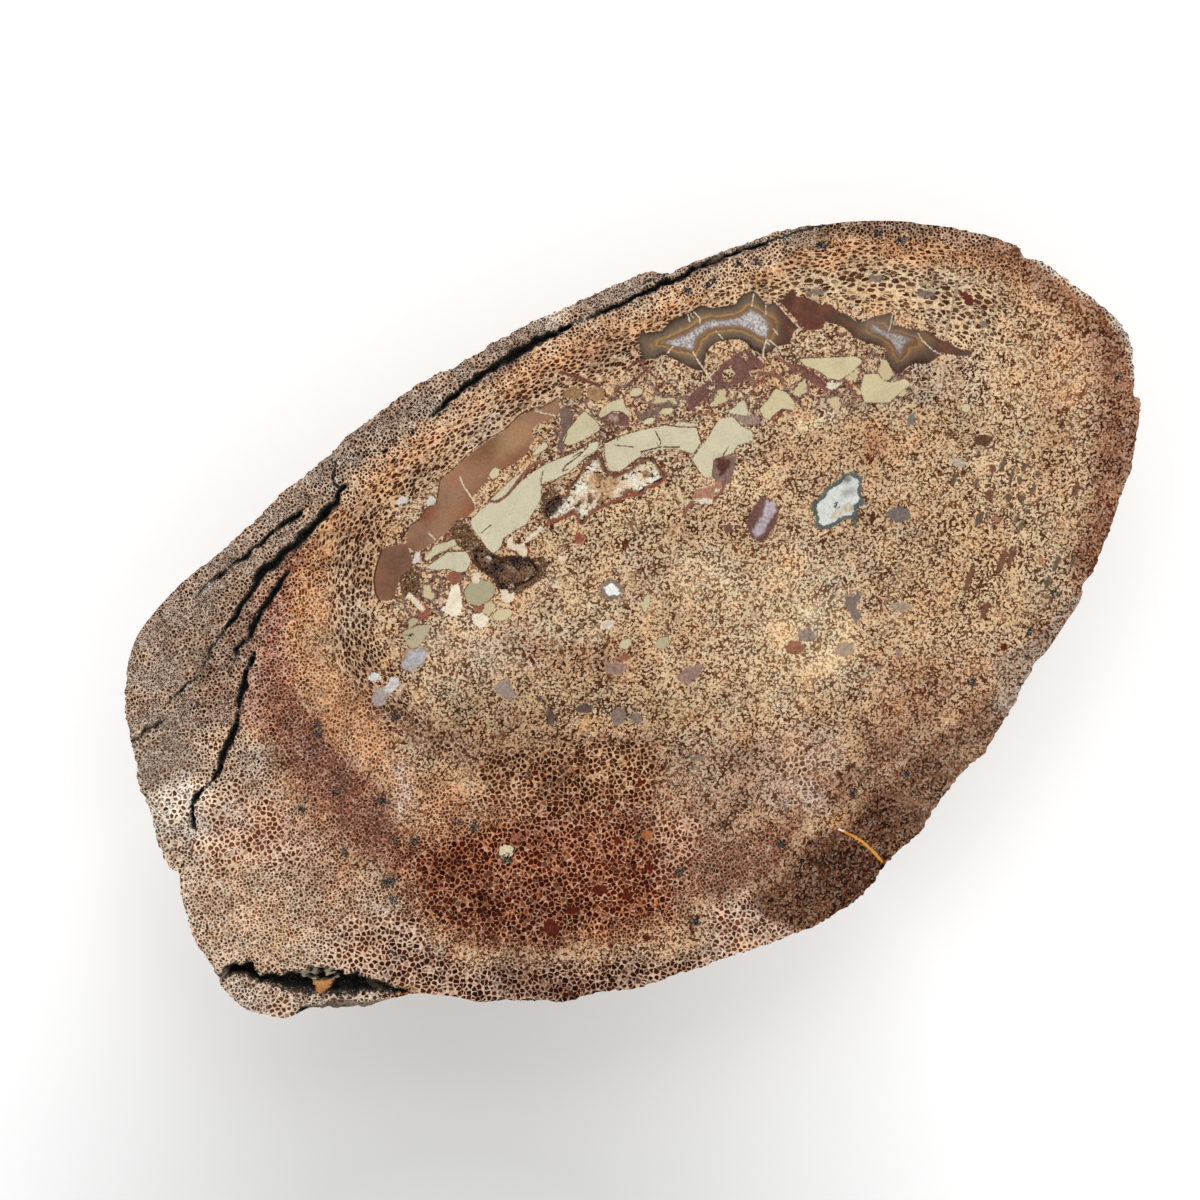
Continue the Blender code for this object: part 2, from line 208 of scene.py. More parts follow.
# What is open in the stone: cracks, crevice and two hollows
openings = {
    "cracks": (  # x,y,width
        "832,224,2 808,227,3 794,232,3 780,238,3 763,243,4 749,248,4 735,253,5 721,257.5,6 707,264.5,6 "
        "691,270,6 684,276.5,6 670,280,6 656,286,6 642,293,6 628,300,6 614,307,6 600,313,5 596,315,4 "
        "589,317,2 582,318,1.5 574,321,2 566,326,6 557,332,8 540,340,9 530,346,9 523,350,10 511,356,10 "
        "498,363,9 490,370,8 479,377,8 467,385,7 459,392,7 450,399,7 445,406,6 438,410,4 431,416,2",
        "417,429,3 412,433,3", "399,439,2.5 392,444.5,2.5", "387,449,3 382,454,3", "377,463,2.5 370,470,2",
        "629.5,290,1.2 642,283,1.2 656,276,1.2 669,272,1",
        "327,446,2 333,461,3 336,466,3 333,473,4 335,481,5 340,487,5 342,492,5",
        "347,482,3 340,492,8 335,502,10 326,512,10 314,523,10 304,534,10 294,544,10 284,551,10 276,560,10 "
        "263,571,10 256,580,9 250,594,8 242,605,7 236,616,6 229,623,5 221,633,4 214,644,4 210,654,4 "
        "203,667,3.5 196,678,3 186,686,3 177,695,3 166,705,2",
        "162,721,3 152,727,3 144,733,3 132.5,742,3 124,749,3",
        "303,509,4 293,517.5,5 284,524.5,5 280,527,4 261,543,4.5 240.5,560,4 231,566,3.5 221,574,3.5 "
        "208,583,2.5 200,592,2 193,598,1.5",
        "292,571,3 284,578,7 277,587,7 270,601,7 261.5,612,7 256,622,7 250,633,6 248,636.5,5 242,644,5 "
        "236,650,5 238,658,4 232,667,3 229,672,2",
        "254.5,654,4 252,662,7 247,672,9 245,681,8 240.5,693,6 238,707,5 236,719,6 236,728,8 231,740,9 "
        "224,752,7 222,765,6 217,775,5 212,781,4 203,789.5,4 197,796.5,5 191,806,5 191,816,5 193,826,3 "
        "195,832,2",
        "298,1012,4 309,1009,5 323,1006,5 334,1001,4 339,1004,4 346,1006,3",
        "389,949.5,1.5 404,959.5,1.5"),
    "crevice": "203,975 216.5,976 223,968 230,963 240,964.5 246,959.5 256,968 260,974 276,974 289.5,973 "
               "303,969 321,968 339,969 346,973 359,971 359,978 372,978 386,983 397,988 410.5,988.5 "
               "406,993 381,991 364,991 352.5,994 328,994 306,995 283,991 276,984 260,983 245,976 228,976 "
               "220,978 206,988",
    "quartzHollow": "598,454 604,471 614,477 630,471 641,461 650,458 658,468 666,476 660,482 646,487 "
                    "642,492 630,490 620,498 606,504 592,510 582,523 573,509 562,517 550,521 543,513 "
                    "546,503 556,495 567,498 570,488 578,480 583,470 590,461",
    "darkHollow": "474,546 487,553 500,559 520,557 534,562 540,572 530,582 515,588 501,591 494,576 "
                  "481,569 473,560",
    # how lips wander, each wave with its size and shift, and how widths change, in pixels
    "crackSeeds": (31, 32), "crackWaves": ((5.5, 1.3), (13, 1.7)), "crackWider": 0.4,
    "crackUneven": (9, 0.88, 0.32, 33), "crackOpen": (1.1, 2.4),
    "creviceSeeds": (34, 35), "creviceWave": (5, 2.4), "creviceLip": 4.5, "hollowLip": 2.6,
    # how deep each is, in metres
    "crackDepth": (0.0014, 1.15), "creviceDepth": 0.0075, "quartzDepth": 0.0028, "darkDepth": 0.0026,
    "chipDepth": (0.0022, 0.0002), "crumbDepth": (0.0030, 0.0008),
    "chip": "310.5,983 322,980.5 333,981 330,988 323,992.5 316,995",   # tan chip lying in the crevice
    "crumbs": ("298,974 304,969 310,972 307,979 300,980", "310,970 317,968.5 320,973 314,977.5 309,975",
               "307,979 314,978 319,981 311,983", "322,971 330,969 332,975 325,979",
               "331,973 338,973 339,979.5 332,981"),
}


def crackField(places):  # how far inside the nearest crack, signed offset from it, its half-width
    places = shaken(places, openings["crackSeeds"], *openings["crackWaves"])
    size, least, more, seed = openings["crackUneven"]
    uneven = least + more * softNoise(*places.T, size, seed)
    cracks = [path(text) for text in openings["cracks"]]
    return nearestLine(places, cracks, 40, openings["crackWider"], uneven)[:3]


def creviceIn(places, reach=60):  # how far inside the crevice, whose lips have crumbled
    places = shaken(places, openings["creviceSeeds"], openings["creviceWave"])
    return insideBy(places, path(openings["crevice"]), reach)


def mouthField(places):  # above nought inside any crack, crevice or hollow
    hollows = [openings[name] for name in ("quartzHollow", "darkHollow")]
    return np.maximum.reduce([crackField(places)[0], creviceIn(places), insideAny(places, hollows, 60)])


def sunkenBy(places):  # how far the stone lies below the polish, in metres
    field, _, half = crackField(places)
    base, slope = openings["crackDepth"]
    depth = (base + slope * 2 * half * pixel) * np.clip(field / (0.66 * np.maximum(half, 0.5)), 0, 1)
    depth = depth * smoothStep(*openings["crackOpen"], half)
    rough = softNoise(*places.T, 7, 11)
    floor = openings["creviceDepth"] * (0.86 + 0.14 * rough)
    floor = floor * np.clip(creviceIn(places) / openings["creviceLip"], 0, 1)
    fallen = [(openings["chip"], openings["chipDepth"])]
    fallen += [(crumb, openings["crumbDepth"]) for crumb in openings["crumbs"]]
    for outline, (lying, uneven) in fallen:
        here = insideBy(places, path(outline)) > 0
        floor = np.where(here, np.minimum(floor, lying + uneven * rough), floor)
    depth = np.maximum(depth, floor)
    for name, deepest in (("quartzHollow", "quartzDepth"), ("darkHollow", "darkDepth")):
        inside = insideBy(places, path(openings[name])) / openings["hollowLip"]
        depth = np.maximum(depth, openings[deepest] * np.clip(inside, 0, 1) ** 0.7)
    return depth


# The stone's shape
slab = {
    "columns": 374, "rows": 225,      # quads over the polished face, about 0.75 mm each
    "ragged": 0.00030,                # bite of the saw and of wear along the edge of the polish
    "snap": 1.5,                      # pixels within which a corner moves onto the lip of an opening
    "levels": (0, 0.013, 0.08, 0.16, 0.25, 0.34, 0.44, 0.55, 0.67, 0.79, 0.90, 1),
    "worn": 0.0005, "lean": 0.0022,   # how far the rim falls in at the worn edge, and down to the underside
    "undercut": (0.021, 2.3),         # how far the underside is drawn in besides, and how late
    "waves": (7, 11, 16, 23, 31, 44), "waveHeight": 0.0014,
    "ledges": (0.30, 0.50, 0.72), "ledgeStep": 0.0022,
    "pits": 26, "pitDepth": 0.0030, "pitRadius": 0.0065,
    "rimLength": 0.73, "thickness": 0.038,
    "roughRim": 0.0007,               # fine roughness of the weathered rim
    "lip": (348, 1002), "lipBulge": 0.0046, "lipReach": 0.015,
}


def smoothed(ring, passes):
    for _ in range(passes):
        ring = ring / 2 + (np.roll(ring, 1, 0) + np.roll(ring, -1, 0)) / 4
    return ring


def rimRelief(depth, around):  # waves, broken ledges and pits, as far as the rim falls in
    rng = np.random.default_rng(41)
    waves = np.zeros(len(around))
    for count in slab["waves"]:
        phase, slant = rng.uniform(0, 1), rng.integers(-2, 3)
        waves += np.sin(2 * np.pi * (count * around + slant * depth + phase)) * (9 / (count + 9))
    inset = slab["waveHeight"] * np.abs(waves)
    for ledge in slab["ledges"]:
        line = ledge + 0.07 * np.sin(2 * np.pi * (rng.integers(2, 5) * around + rng.uniform()))
        share = 0.5 + 0.5 * np.sin(2 * np.pi * (rng.integers(3, 7) * around + rng.uniform()))
        inset += slab["ledgeStep"] * share * np.clip((depth - line) / 0.05, 0, 1)
    for _ in range(slab["pits"]):
        place, ledge, radius = rng.uniform(0, 1), rng.uniform(0.15, 0.8), rng.uniform(0.5, 1)
        aside = ((around - place + 0.5) % 1 - 0.5) * slab["rimLength"]
        below = (depth - ledge) * slab["thickness"]
        hollow = np.exp(-1.5 * (aside ** 2 + below ** 2) / (slab["pitRadius"] * radius) ** 2)
        inset += slab["pitDepth"] * radius * hollow
    return inset


def rimRing(edge, depth):  # the solid's own outline at a share of its thickness down from the polish
    rng = np.random.default_rng(7)
    around = np.linspace(0, 1, len(edge), endpoint=False)
    drift = sum(np.sin(2 * np.pi * (waves * around + rng.uniform())) for waves in (2, 3, 5)) / 3
    undercut, late = slab["undercut"]
    inset = slab["worn"] * min(depth / slab["levels"][1], 1) + slab["lean"] * depth
    inset = inset + undercut * depth ** late * (1 + 0.30 * drift)
    inset = inset + rimRelief(depth, around) * min(depth * 6, 1)
    reach = np.hypot(*(edge - spot(slab["lip"])).T) / slab["lipReach"]
    bulge = slab["lipBulge"] * math.sin(math.pi * min(depth * 1.9, 1)) ** 0.6
    inset = inset - bulge * np.clip(1 - reach ** 2, 0, 1)
    base = smoothed(edge, 60)
    along = smoothed(np.roll(base, -2, 0) - np.roll(base, 2, 0), 4)
    along /= np.hypot(*along.T)[:, None]
    inwards = np.column_stack([along[:, 1], -along[:, 0]])
    return smoothed(edge, int(depth * 40)) + inwards * inset[:, None]


def faceGrid():
    # a square of u and v from -1 to 1 is rounded to a disc, x = u sqrt(1 - v²/2) and y = v sqrt(1 - u²/2),
    # and the disc is stretched towards the outline, more the nearer a point is to it
    columns, rows = slab["columns"], slab["rows"]
    u, v = np.meshgrid(np.linspace(-1, 1, columns + 1), np.linspace(-1, 1, rows + 1))
    x, y = u * np.sqrt(1 - v ** 2 / 2), v * np.sqrt(1 - u ** 2 / 2)
    radius, angle = np.hypot(x, y).ravel(), np.arctan2(y, x).ravel()
    half = (stoneHigh - stoneLow)[:2] / 2
    outline = placed(closedCurve(faceOutline, 2400))
    share = np.arange(len(outline)) / len(outline)
    bearing = np.unwrap(np.arctan2(outline[:, 1] / half[1], outline[:, 0] / half[0]))[::-1]
    far = np.hypot(outline[:, 0] / half[0], outline[:, 1] / half[1])[::-1]
    share = share[::-1]
    wanted = bearing[0] + (angle - bearing[0]) % (2 * np.pi)
    bearing = np.append(bearing, bearing[0] + 2 * np.pi)
    reach = np.interp(wanted, bearing, np.append(far, far[0]))
    around = np.interp(wanted, bearing, np.append(share, share[0] - 1)) % 1
    stretch = 1 + (reach - 1) * radius ** 2
    places = np.column_stack([np.cos(angle) * half[0], np.sin(angle) * half[1]])
    places = places * (radius * stretch)[:, None]
    bite = 1.1 + softNoise(around * 900, radius, 1, 5) + 0.6 * softNoise(around * 300, radius, 1, 6)
    cornered = smoothStep(0.86, 0.95, np.minimum(np.abs(u), np.abs(v)).ravel())
    bite = np.maximum(slab["ragged"] * bite, 0) * (1 - cornered)
    length = np.hypot(*places.T) + 1e-9
    return places * (1 - bite / length * radius ** 60)[:, None], radius, around


def gridIndex():  # the numbers of the grid's corners, in rows
    columns, rows = slab["columns"] + 1, slab["rows"] + 1
    return np.arange(columns * rows).reshape(rows, columns)


def boundaryLoop():  # the grid's outer corners, clockwise seen from above
    index = gridIndex()
    return np.concatenate([index[:-1, 0], index[-1, :-1], index[:0:-1, -1], index[0, :0:-1]])


def gridQuads():
    index = gridIndex()
    return np.stack([index[:-1, :-1], index[:-1, 1:], index[1:, 1:], index[1:, :-1]], -1).reshape(-1, 4)


def snapped(places, radius):  # corners near the lip of an opening move onto it
    at = pictured(places)
    field = mouthField(at)
    near = np.flatnonzero((np.abs(field) < slab["snap"]) & (radius < 0.992))
    step = 0.4
    slope = np.column_stack([mouthField(at[near] + (step, 0)) - field[near],
                             mouthField(at[near] + (0, step)) - field[near]]) / step
    steepness = (slope ** 2).sum(1)
    good = (steepness > 0.4) & (steepness < 1.6)
    at[near[good]] -= (slope * (field[near] / np.maximum(steepness, 0.1))[:, None])[good]
    moved, quads = placed(at), gridQuads()
    for _ in range(4):  # a corner whose move folds a face goes back
        a, b, c, d = (moved[quads[:, i]] for i in range(4))
        turns = [(p[:, 0] - q[:, 0]) * (r[:, 1] - q[:, 1]) - (p[:, 1] - q[:, 1]) * (r[:, 0] - q[:, 0])
                 for q, p, r in ((a, b, d), (b, c, a), (c, d, b), (d, a, c))]
        folded = quads[(np.array(turns) < 0).any(0)].ravel()
        moved[folded] = places[folded]
    return moved


def stoneShape():
    places, radius, around = faceGrid()
    places = snapped(places, radius)
    heights = top - sunkenBy(pictured(places))
    loop = boundaryLoop()
    edge = placed(closedCurve(faceOutline, view["rimPoints"]))
    share = around[loop]
    at = share * view["rimPoints"]
    low = np.minimum(at.astype(int), view["rimPoints"] - 1)
    order = np.append(np.arange(view["rimPoints"]), 0)
    rings = [np.column_stack([places, heights])]
    for row, depth in enumerate(slab["levels"][1:], 1):
        ring = rimRing(edge, depth)[order]
        wall = ring[low] + (ring[low + 1] - ring[low]) * (at - low)[:, None]
        rough = (softNoise(share * 330, np.full(len(loop), depth * 17), 1, 21)
                 + 0.7 * softNoise(share * 900, np.full(len(loop), depth * 40), 1, 22))
        bite = slab["roughRim"] * (0.9 + rough) * min(1, depth * 12)
        wall = wall * (1 - bite / np.hypot(*wall.T))[:, None]
        z = np.minimum(top - (top - stoneLow[2]) * depth, heights[loop] - 0.00012 * row)
        rings.append(np.column_stack([wall, np.maximum(z, stoneLow[2])]))
    corners = np.vstack(rings)
    corners[:, :2] = np.clip(corners[:, :2], stoneLow[:2], stoneHigh[:2])
    count, first = len(loop), len(places)
    loops = np.vstack([loop] + [first + count * i + np.arange(count) for i in range(len(rings) - 1)])
    wall = np.stack([loops[:-1], np.roll(loops[:-1], -1, 1), np.roll(loops[1:], -1, 1), loops[1:]], -1)
    return corners, gridQuads(), wall.reshape(-1, 4), loops[-1]


def meshOf(name, corners, faces):  # faces: arrays of corner numbers, one row a face
    mesh = bpy.data.meshes.new(name)
    counts = np.concatenate([np.full(len(rows), rows.shape[1]) for rows in faces])
    corner = np.concatenate([rows.ravel() for rows in faces])
    mesh.vertices.add(len(corners))
    mesh.vertices.foreach_set("co", corners.astype(np.float32).ravel())
    mesh.loops.add(len(corner))
    mesh.loops.foreach_set("vertex_index", corner.astype(np.int32))
    mesh.polygons.add(len(counts))
    mesh.polygons.foreach_set("loop_start", np.append(0, np.cumsum(counts)[:-1]).astype(np.int32))
    mesh.update(calc_edges=True)
    mesh.validate()
    return mesh


def shown(name, data):  # puts a mesh, lamp or camera in the scene
    made = bpy.data.objects.new(name, data)
    bpy.context.scene.collection.objects.link(made)
    return made


corners, faceQuads, wallQuads, underside = stoneShape()
stone = meshOf("petrified_slab", corners, [faceQuads, wallQuads, underside[None]])
stonePiece = shown("petrified_slab", stone)
kinds = np.zeros(len(stone.polygons), np.int32)   # 0 the polish, 1 the rim, 2 the underside
kinds[len(faceQuads):] = 1
kinds[-1] = 2
stone.polygons.foreach_set("material_index", kinds)
stone.polygons.foreach_set("use_smooth", kinds == 1)
print("stone shaped:", len(corners), "corners")


# Colours of the polished face
# Washes are painted in order over the whole bone: half width of a line (0 for a patch), soft edge,
# wall, pore, share of pores, size of pores (0 fine to 3 large), how far pores follow the growth rings,
# how far the bone has crumbled to grains, strength, path
washes = (
    (0, 30, "#d9bb97", "#8a6345", .40, 0, 0, 1, 1, "oval 650,600 2000,2000"),
    (0, 30, "#e9cfab", "#b6926e", .34, 0, 0, 1, .9,
     "690,540 800,560 850,600 840,680 780,700 720,640 660,580"),
    (0, 20, "#f4d8b0", "#d0ab82", .30, 0, 0, 1, 1, "oval 818,640 96,76"),
    (0, 16, "#dcc8a8", "#8f7858", .40, 0, 0, 1, .7, "oval 580,620 70,50"),
    (0, 14, "#cdaa84", "#6b4430", .46, 0, 0, 1, .8, "668,500 720,492 738,530 700,552 668,535"),
    (0, 24, "#d8bc95", "#6f4c30", .44, 0, 0, 1, .9, "540,500 640,500 690,470 700,500 620,545 540,570"),
    (0, 22, "#d9b994", "#845c3d", .42, 0, 0, 1, .9, "780,420 900,410 960,380 960,440 890,470 790,460"),
    (0, 40, "#dfc099", "#836043", .42, 1, .6, .5, .9,
     "930,330 1010,310 1060,330 1075,400 1070,500 1050,580 990,630 950,560 930,430"),
    (0, 22, "#d5bca1", "#674936", .46, 1.4, .4, .5, .9, "900,350 960,330 1000,360 980,400 920,400"),
    (0, 20, "#cba985", "#764d33", .38, .5, .4, .7, .9,
     "1030,330 1070,340 1080,420 1065,500 1035,500 1035,400"),
    (0, 10, "#bfaa99", "#503c2e", .42, .4, .3, 0, 1,   # grey cortex along the upper left rim
     "60,740 80,640 138,600 170,550 238,500 294,440 350,390 400,350 453,320 526,280 594,250 639,230 "
     "700,220 782,190 830,180 900,190 1000,200 1020,244 960,238 900,238 850,236 800,243 740,262 690,284 "
     "640,304 590,325 540,350 490,380 440,413 400,440 365,465 345,500 310,540 280,575 262,600 250,640 "
     "240,690 232,730 205,745 195,770 180,790 100,800"),
    (0, 14, "#c6b09d", "#3e2e24", .45, .5, .3, 0, .9,
     "300,490 400,410 520,340 600,305 590,325 500,375 420,430 340,500"),
    (0, 14, "#b49a87", "#453228", .44, .5, .2, 0, .9,
     "190,690 230,600 290,550 300,570 255,640 235,700 205,720"),
    (0, 10, "#b2a293", "#6a5a4c", .40, .4, 0, .3, .95, "110,722 160,712 200,730 198,760 180,790 120,800"),
    (0, 8, "#bb9e86", "#3c261a", .48, .6, .2, 0, 1,
     "800,222 860,215 930,215 1000,232 1020,246 960,250 880,240 830,238"),
    (0, 7, "#e0d8cc", "#a08c7c", .30, .8, 0, 0, .9, "538,309 560,300 566,319 548,324"),
    (0, 14, "#e0cbb8", "#70503c", .42, 1.3, 0, 0, 1,   # cream lobe, lower left
     "120,800 190,790 215,770 235,740 262,740 290,800 330,860 400,900 430,950 440,1030 300,1040 230,1030 "
     "170,950 140,860"),
    (0, 16, "#fff2e4", "#8c6c5a", .32, 1.4, 0, 0, .95, "oval 198,812 60,90 70"),
    (0, 24, "#e4c3aa", "#7d4f36", .42, 1.4, 0, 0, .9, "oval 250,830 80,90"),
    (0, 26, "#dfc0a2", "#8c6446", .36, 1, 0, .3, .9,
     "200,880 260,870 300,900 330,950 300,965 250,960 205,940"),
    (0, 22, "#d3ab88", "#734527", .42, 1.2, 0, .2, .9, "290,870 340,880 350,930 300,930"),
    (0, 18, "#d2ab8e", "#7c5038", .42, 1.2, 0, 0, .9, "280,810 320,820 360,880 380,930 340,930 300,880"),
    (0, 12, "#d4bba6", "#4a3629", .42, 1.2, 0, 0, .95, "196,735 245,725 250,770 215,790 196,775"),
    (0, 16, "#c39480", "#5c2e1d", .46, 1.1, 0, 0, 1,   # rust-red flush
     "262,590 300,580 305,640 300,690 330,740 320,770 280,740 250,720 240,700 250,640"),
    (0, 16, "#d6ac8c", "#8b5939", .40, 1, 0, .2, 1,
     "282,600 310,590 318,660 340,700 320,710 295,690 284,640"),
    (0, 14, "#b0765a", "#562817", .46, 1, 0, 0, .9, "286,545 315,540 322,600 300,640 280,600"),
    (0, 14, "#e0b29e", "#7a4834", .42, 1, 0, 0, .9, "oval 256,700 30,60"),
    (0, 12, "#c08a70", "#5a2a1a", .48, 1, 0, 0, .7, "oval 275,622 26,50"),
    (24, 14, "#cbac8c", "#4f3528", .60, 2, 1.2, 0, 1,    # open trabecular ring
     "640,350 590,362 540,382 490,410 440,446 400,480 370,520 350,560 345,610 355,650 380,690 410,720"),
    (0, 16, "#d8bd9a", "#6c5645", .54, 2.3, 1.2, 0, 1,
     "690,300 770,266 860,256 940,266 1000,290 1005,340 960,345 920,312 830,302 770,296 690,312 645,332 "
     "640,318"),
    (12, 12, "#d9a87c", "#6e3c1f", .46, 1.2, .5, .1, 1,   # orange growth ring
     "1040,300 1000,262 940,250 850,250 770,266 690,296 610,330 520,376 450,422 400,456 355,496 325,535 "
     "305,590 "
     "300,640 318,690 350,730 400,775 450,800"),
    (6, 8, "#ecc9a6", "#6e3f28", .38, 1, .3, 0, .9,
     "790,250 740,268 690,288 640,310 600,330 540,358 490,388 440,420 400,448 368,476 345,505"),
    (12, 14, "#e0b48c", "#a5714a", .34, .8, .2, .4, 1, "318,600 322,650 340,700 375,745 410,775"),
    (0, 26, "#d3a179", "#905b39", .36, .9, 0, .3, 1, "oval 352,722 100,70 -40"),
    (0, 10, "#f2bc8c", "#bd8050", .30, .8, .2, .3, .9, "oval 328,698 24,36"),
    (0, 14, "#b08668", "#6e3f28", .45, .5, .3, .5, 1,    # browner right rim
     "1015,236 1060,240 1150,290 1180,400 1160,500 1110,620 1075,600 1075,560 1090,500 1096,440 1092,380 "
     "1075,330 1040,290 1000,265 960,250"),
    (0, 16, "#a8836a", "#6c4935", .45, .5, .3, .6, 1, "1140,380 1180,420 1120,620 1080,600 1110,500"),
    (0, 30, "#efc39a", "#b67f58", .33, .4, .3, .7, .9, "1030,290 1075,330 1090,400 1070,410 1045,340"),
    (6, 5, "#d8ccbc", "#7b5a48", .40, .6, 0, 0, 1, "1022,250 1060,272 1100,302 1130,330 1136,372"),
    (0, 10, "#c08a64", "#7c4c30", .40, 0, 0, 1, .8, "oval 875,446 26,30"),
    (0, 4, "#ebdcb8", "#b39c78", .25, 0, 0, 1, .9, "797,424 820,416 850,409 868,408 850,417 820,427 "
                                                   "803,430"),
    (0, 12, "#b68d6f", "#573620", .48, 1.2, .5, .1, .6, "oval 600,345 60,24 25"),
    (0, 12, "#f4d2ae", "#764d30", .38, 1.2, .3, .1, .6, "oval 720,285 60,22 15"),
    (0, 14, "#e0c4a8", "#6a4830", .48, 2, 1.2, 0, .6, "oval 480,428 60,36 35"),
    (0, 20, "#e8cda6", "#846241", .38, 0, 0, 1, .6, "oval 760,480 70,50"),
    (0, 30, "#e4be92", "#85592f", .42, .4, .3, .8, .5, "oval 970,550 140,130"),
    (0, 24, "#dcc4a8", "#9e8064", .34, .3, 0, 1, .9, "430,640 500,620 560,640 540,675 480,690 430,700"),
    (0, 22, "#c49c78", "#6c3f2b", .42, .4, 0, 1, .9, "520,640 620,640 640,665 600,690 540,680"),
    (0, 26, "#ccb08b", "#735539", .46, 2, .2, .7, .95, "440,690 560,675 700,690 700,750 560,750 450,740"),
    (0, 20, "#b38f6e", "#4e3324", .50, 2, .2, .4, 1, "480,738 560,735 657,730 657,770 560,770 480,765"),
    (0, 16, "#b98c6a", "#48270f", .58, 2.2, .2, .1, 1,
     "470,762 560,755 657,755 657,800 600,815 520,815 480,800"),
    (0, 16, "#dab08a", "#7c5030", .48, 1.6, .2, .1, .9, "oval 500,795 56,40"),
    (0, 16, "#b8997a", "#5f4330", .48, 1.6, .2, .6, .8, "oval 520,722 60,40"),
    (0, 16, "#caa07a", "#5e3a22", .50, 1.8, .2, .1, .9, "oval 622,775 60,40"),
    (0, 24, "#b5876f", "#6c4637", .50, .9, 0, .25, 1,    # mauve-brown shadow along the orange ring
     "268,665 284,672 300,705 345,750 392,795 410,850 392,876 345,850 295,795 270,742"),
    (0, 16, "#a0786a", "#6c4c42", .50, .9, 0, .3, .95,
     "285,712 312,728 345,765 392,815 398,858 350,825 305,775"),
    (0, 7, "#e0c4b4", "#a0745c", .40, 1.2, 0, 0, .9, "397,758 412,760 414,812 398,815"),
    (16, 12, "#b1937a", "#665045", .50, 1.8, .3, .4, .95, "382,703 420,730 466,757"),
    (0, 18, "#cc9d78", "#7c4a2a", .42, 1.2, 0, .2, .95, "420,775 450,780 470,800 460,820 430,820 415,800"),
    (0, 30, "#b87c5b", "#52210f", .60, 1.5, 0, 0, 1,    # red-celled flush
     "400,850 440,825 500,810 580,810 657,805 690,850 690,920 620,945 520,950 430,930 395,890"),
    (0, 26, "#a8775c", "#481e11", .64, 1.7, 0, 0, .9, "440,880 520,885 580,910 560,940 470,935 420,910"),
    (0, 22, "#bc8260", "#5e2512", .58, 1.8, 0, 0, .9, "520,830 600,825 620,870 560,890 510,870"),
    (0, 16, "#cbab93", "#472110", .58, 1.6, 0, 0, 1,     # cream strip along the lower rim
     "400,945 470,960 560,966 660,955 715,945 715,990 600,1020 500,1030 420,1020 380,990"),
    (0, 16, "#ad9180", "#3c1c0e", .60, 1.7, 0, 0, .9, "490,965 560,970 640,960 640,990 560,1010 500,1010"),
    (0, 20, "#dab8a0", "#552a18", .52, 1.9, 0, 0, .95, "330,935 420,925 440,985 330,990"),
    (0, 14, "#ecccb4", "#74452c", .42, 1.8, 0, 0, .8, "oval 352,950 44,40"),
    (0, 20, "#bc9b80", "#775a45", .44, 1.4, .3, .6, .95,
     "657,745 760,735 840,730 850,780 800,830 720,840 657,830"),
    (0, 18, "#dcbca3", "#8b6950", .42, 1.5, .3, .4, .9, "770,730 840,730 835,770 790,790 770,770"),
    (0, 12, "#dfc5b2", "#967460", .42, 1.2, 0, .4, .6, "oval 780,790 40,30"),
    (0, 7, "#d4c2b8", "#9a7a66", .40, 1.6, 0, .3, .9, "oval 815,794 32,28"),
    (0, 5, "#d4c2b8", "#9a7a66", .40, 1.6, 0, .3, .9, "oval 788,806 14,9"),
    (0, 8, "#cd965e", "#8a5a34", .40, 1.2, 0, .4, .9, "oval 840,820 26,20"),
    (0, 18, "#d0a488", "#744a33", .48, 1.8, 0, .1, .95, "650,815 700,820 720,845 700,890 660,880"),
    (0, 16, "#a8816b", "#6e4530", .46, .9, 0, .3, .95,
     "690,850 760,830 800,820 800,850 770,880 730,905 690,900"),
    (0, 12, "#dcc0aa", "#7a4a30", .44, 1.6, 0, 0, 1, "705,910 750,895 800,912 800,960 700,985"),
    (0, 9, "#7a604b", "#40291d", .50, .5, 0, .6, 1,      # umber stain, lower right
     "1010,690 985,690 940,732 899,768 873,792 854,814 849,824 830,830 809,836.5 802,849 791,868 777,881 "
     "758,894 752,904 775,921 796,928 815,940 900,900 1000,790 1040,700"),
    (0, 22, "#a58e77", "#7c6450", .44, .4, 0, .8, .9, "900,800 950,740 1000,690 1040,690 960,800 920,830"),
    (0, 24, "#a5856e", "#76533e", .42, .5, 0, .9, .85, "860,720 930,720 900,775 880,790 850,770"),
    (0, 26, "#c59e80", "#8c6248", .40, .5, 0, .9, .85, "880,660 985,660 985,690 930,725 880,720"),
    (0, 22, "#92694e", "#4c2f20", .46, .8, 0, .6, .9, "835,775 870,770 865,800 850,812 832,805"),
    (0, 14, "#523d2d", "#281a13", .50, .5, 0, .6, .85, "oval 850,872 76,54"),
    (0, 16, "#836b57", "#4e3b2e", .44, .4, 0, .8, .85, "oval 930,782 60,50"),
    (0, 10, "#a09284", "#6a5a4c", .40, .4, 0, .8, .8, "1000,655 1040,640 1062,640 1020,690 1000,700"),
    (0, 6, "#b3a89c", "#75675b", .42, .4, 0, .8, 1,     # grey matrix at the right rim
     "1100,590 1081,594 1068,601 1062,609 1053,621 1042,630 1030,638 1020,645 1012,655 1003,664.5 "
     "996,672.5 995,680.5 999,686 997,695.5 998,710 1020,720 1100,640"),
    (0, 7, "#b07a48", "#5a3218", .50, 1, 0, 0, .8, "392,984 414,984 420,994 400,1000 386,995"),
    # painted shade: a dark brown wash on the rim just below the lip at lower left, where the notch under it
    # lies in shade, laid over the rim's own brown
    (0, 2, "#3c2c1b", "#241810", .50, 1, 0, 0, 1,
     "292,1019 310,1011 330,1004 346,1003.5 364,1005.5 382,1003.5 402,1000.5 392,1012 340,1024"),
)
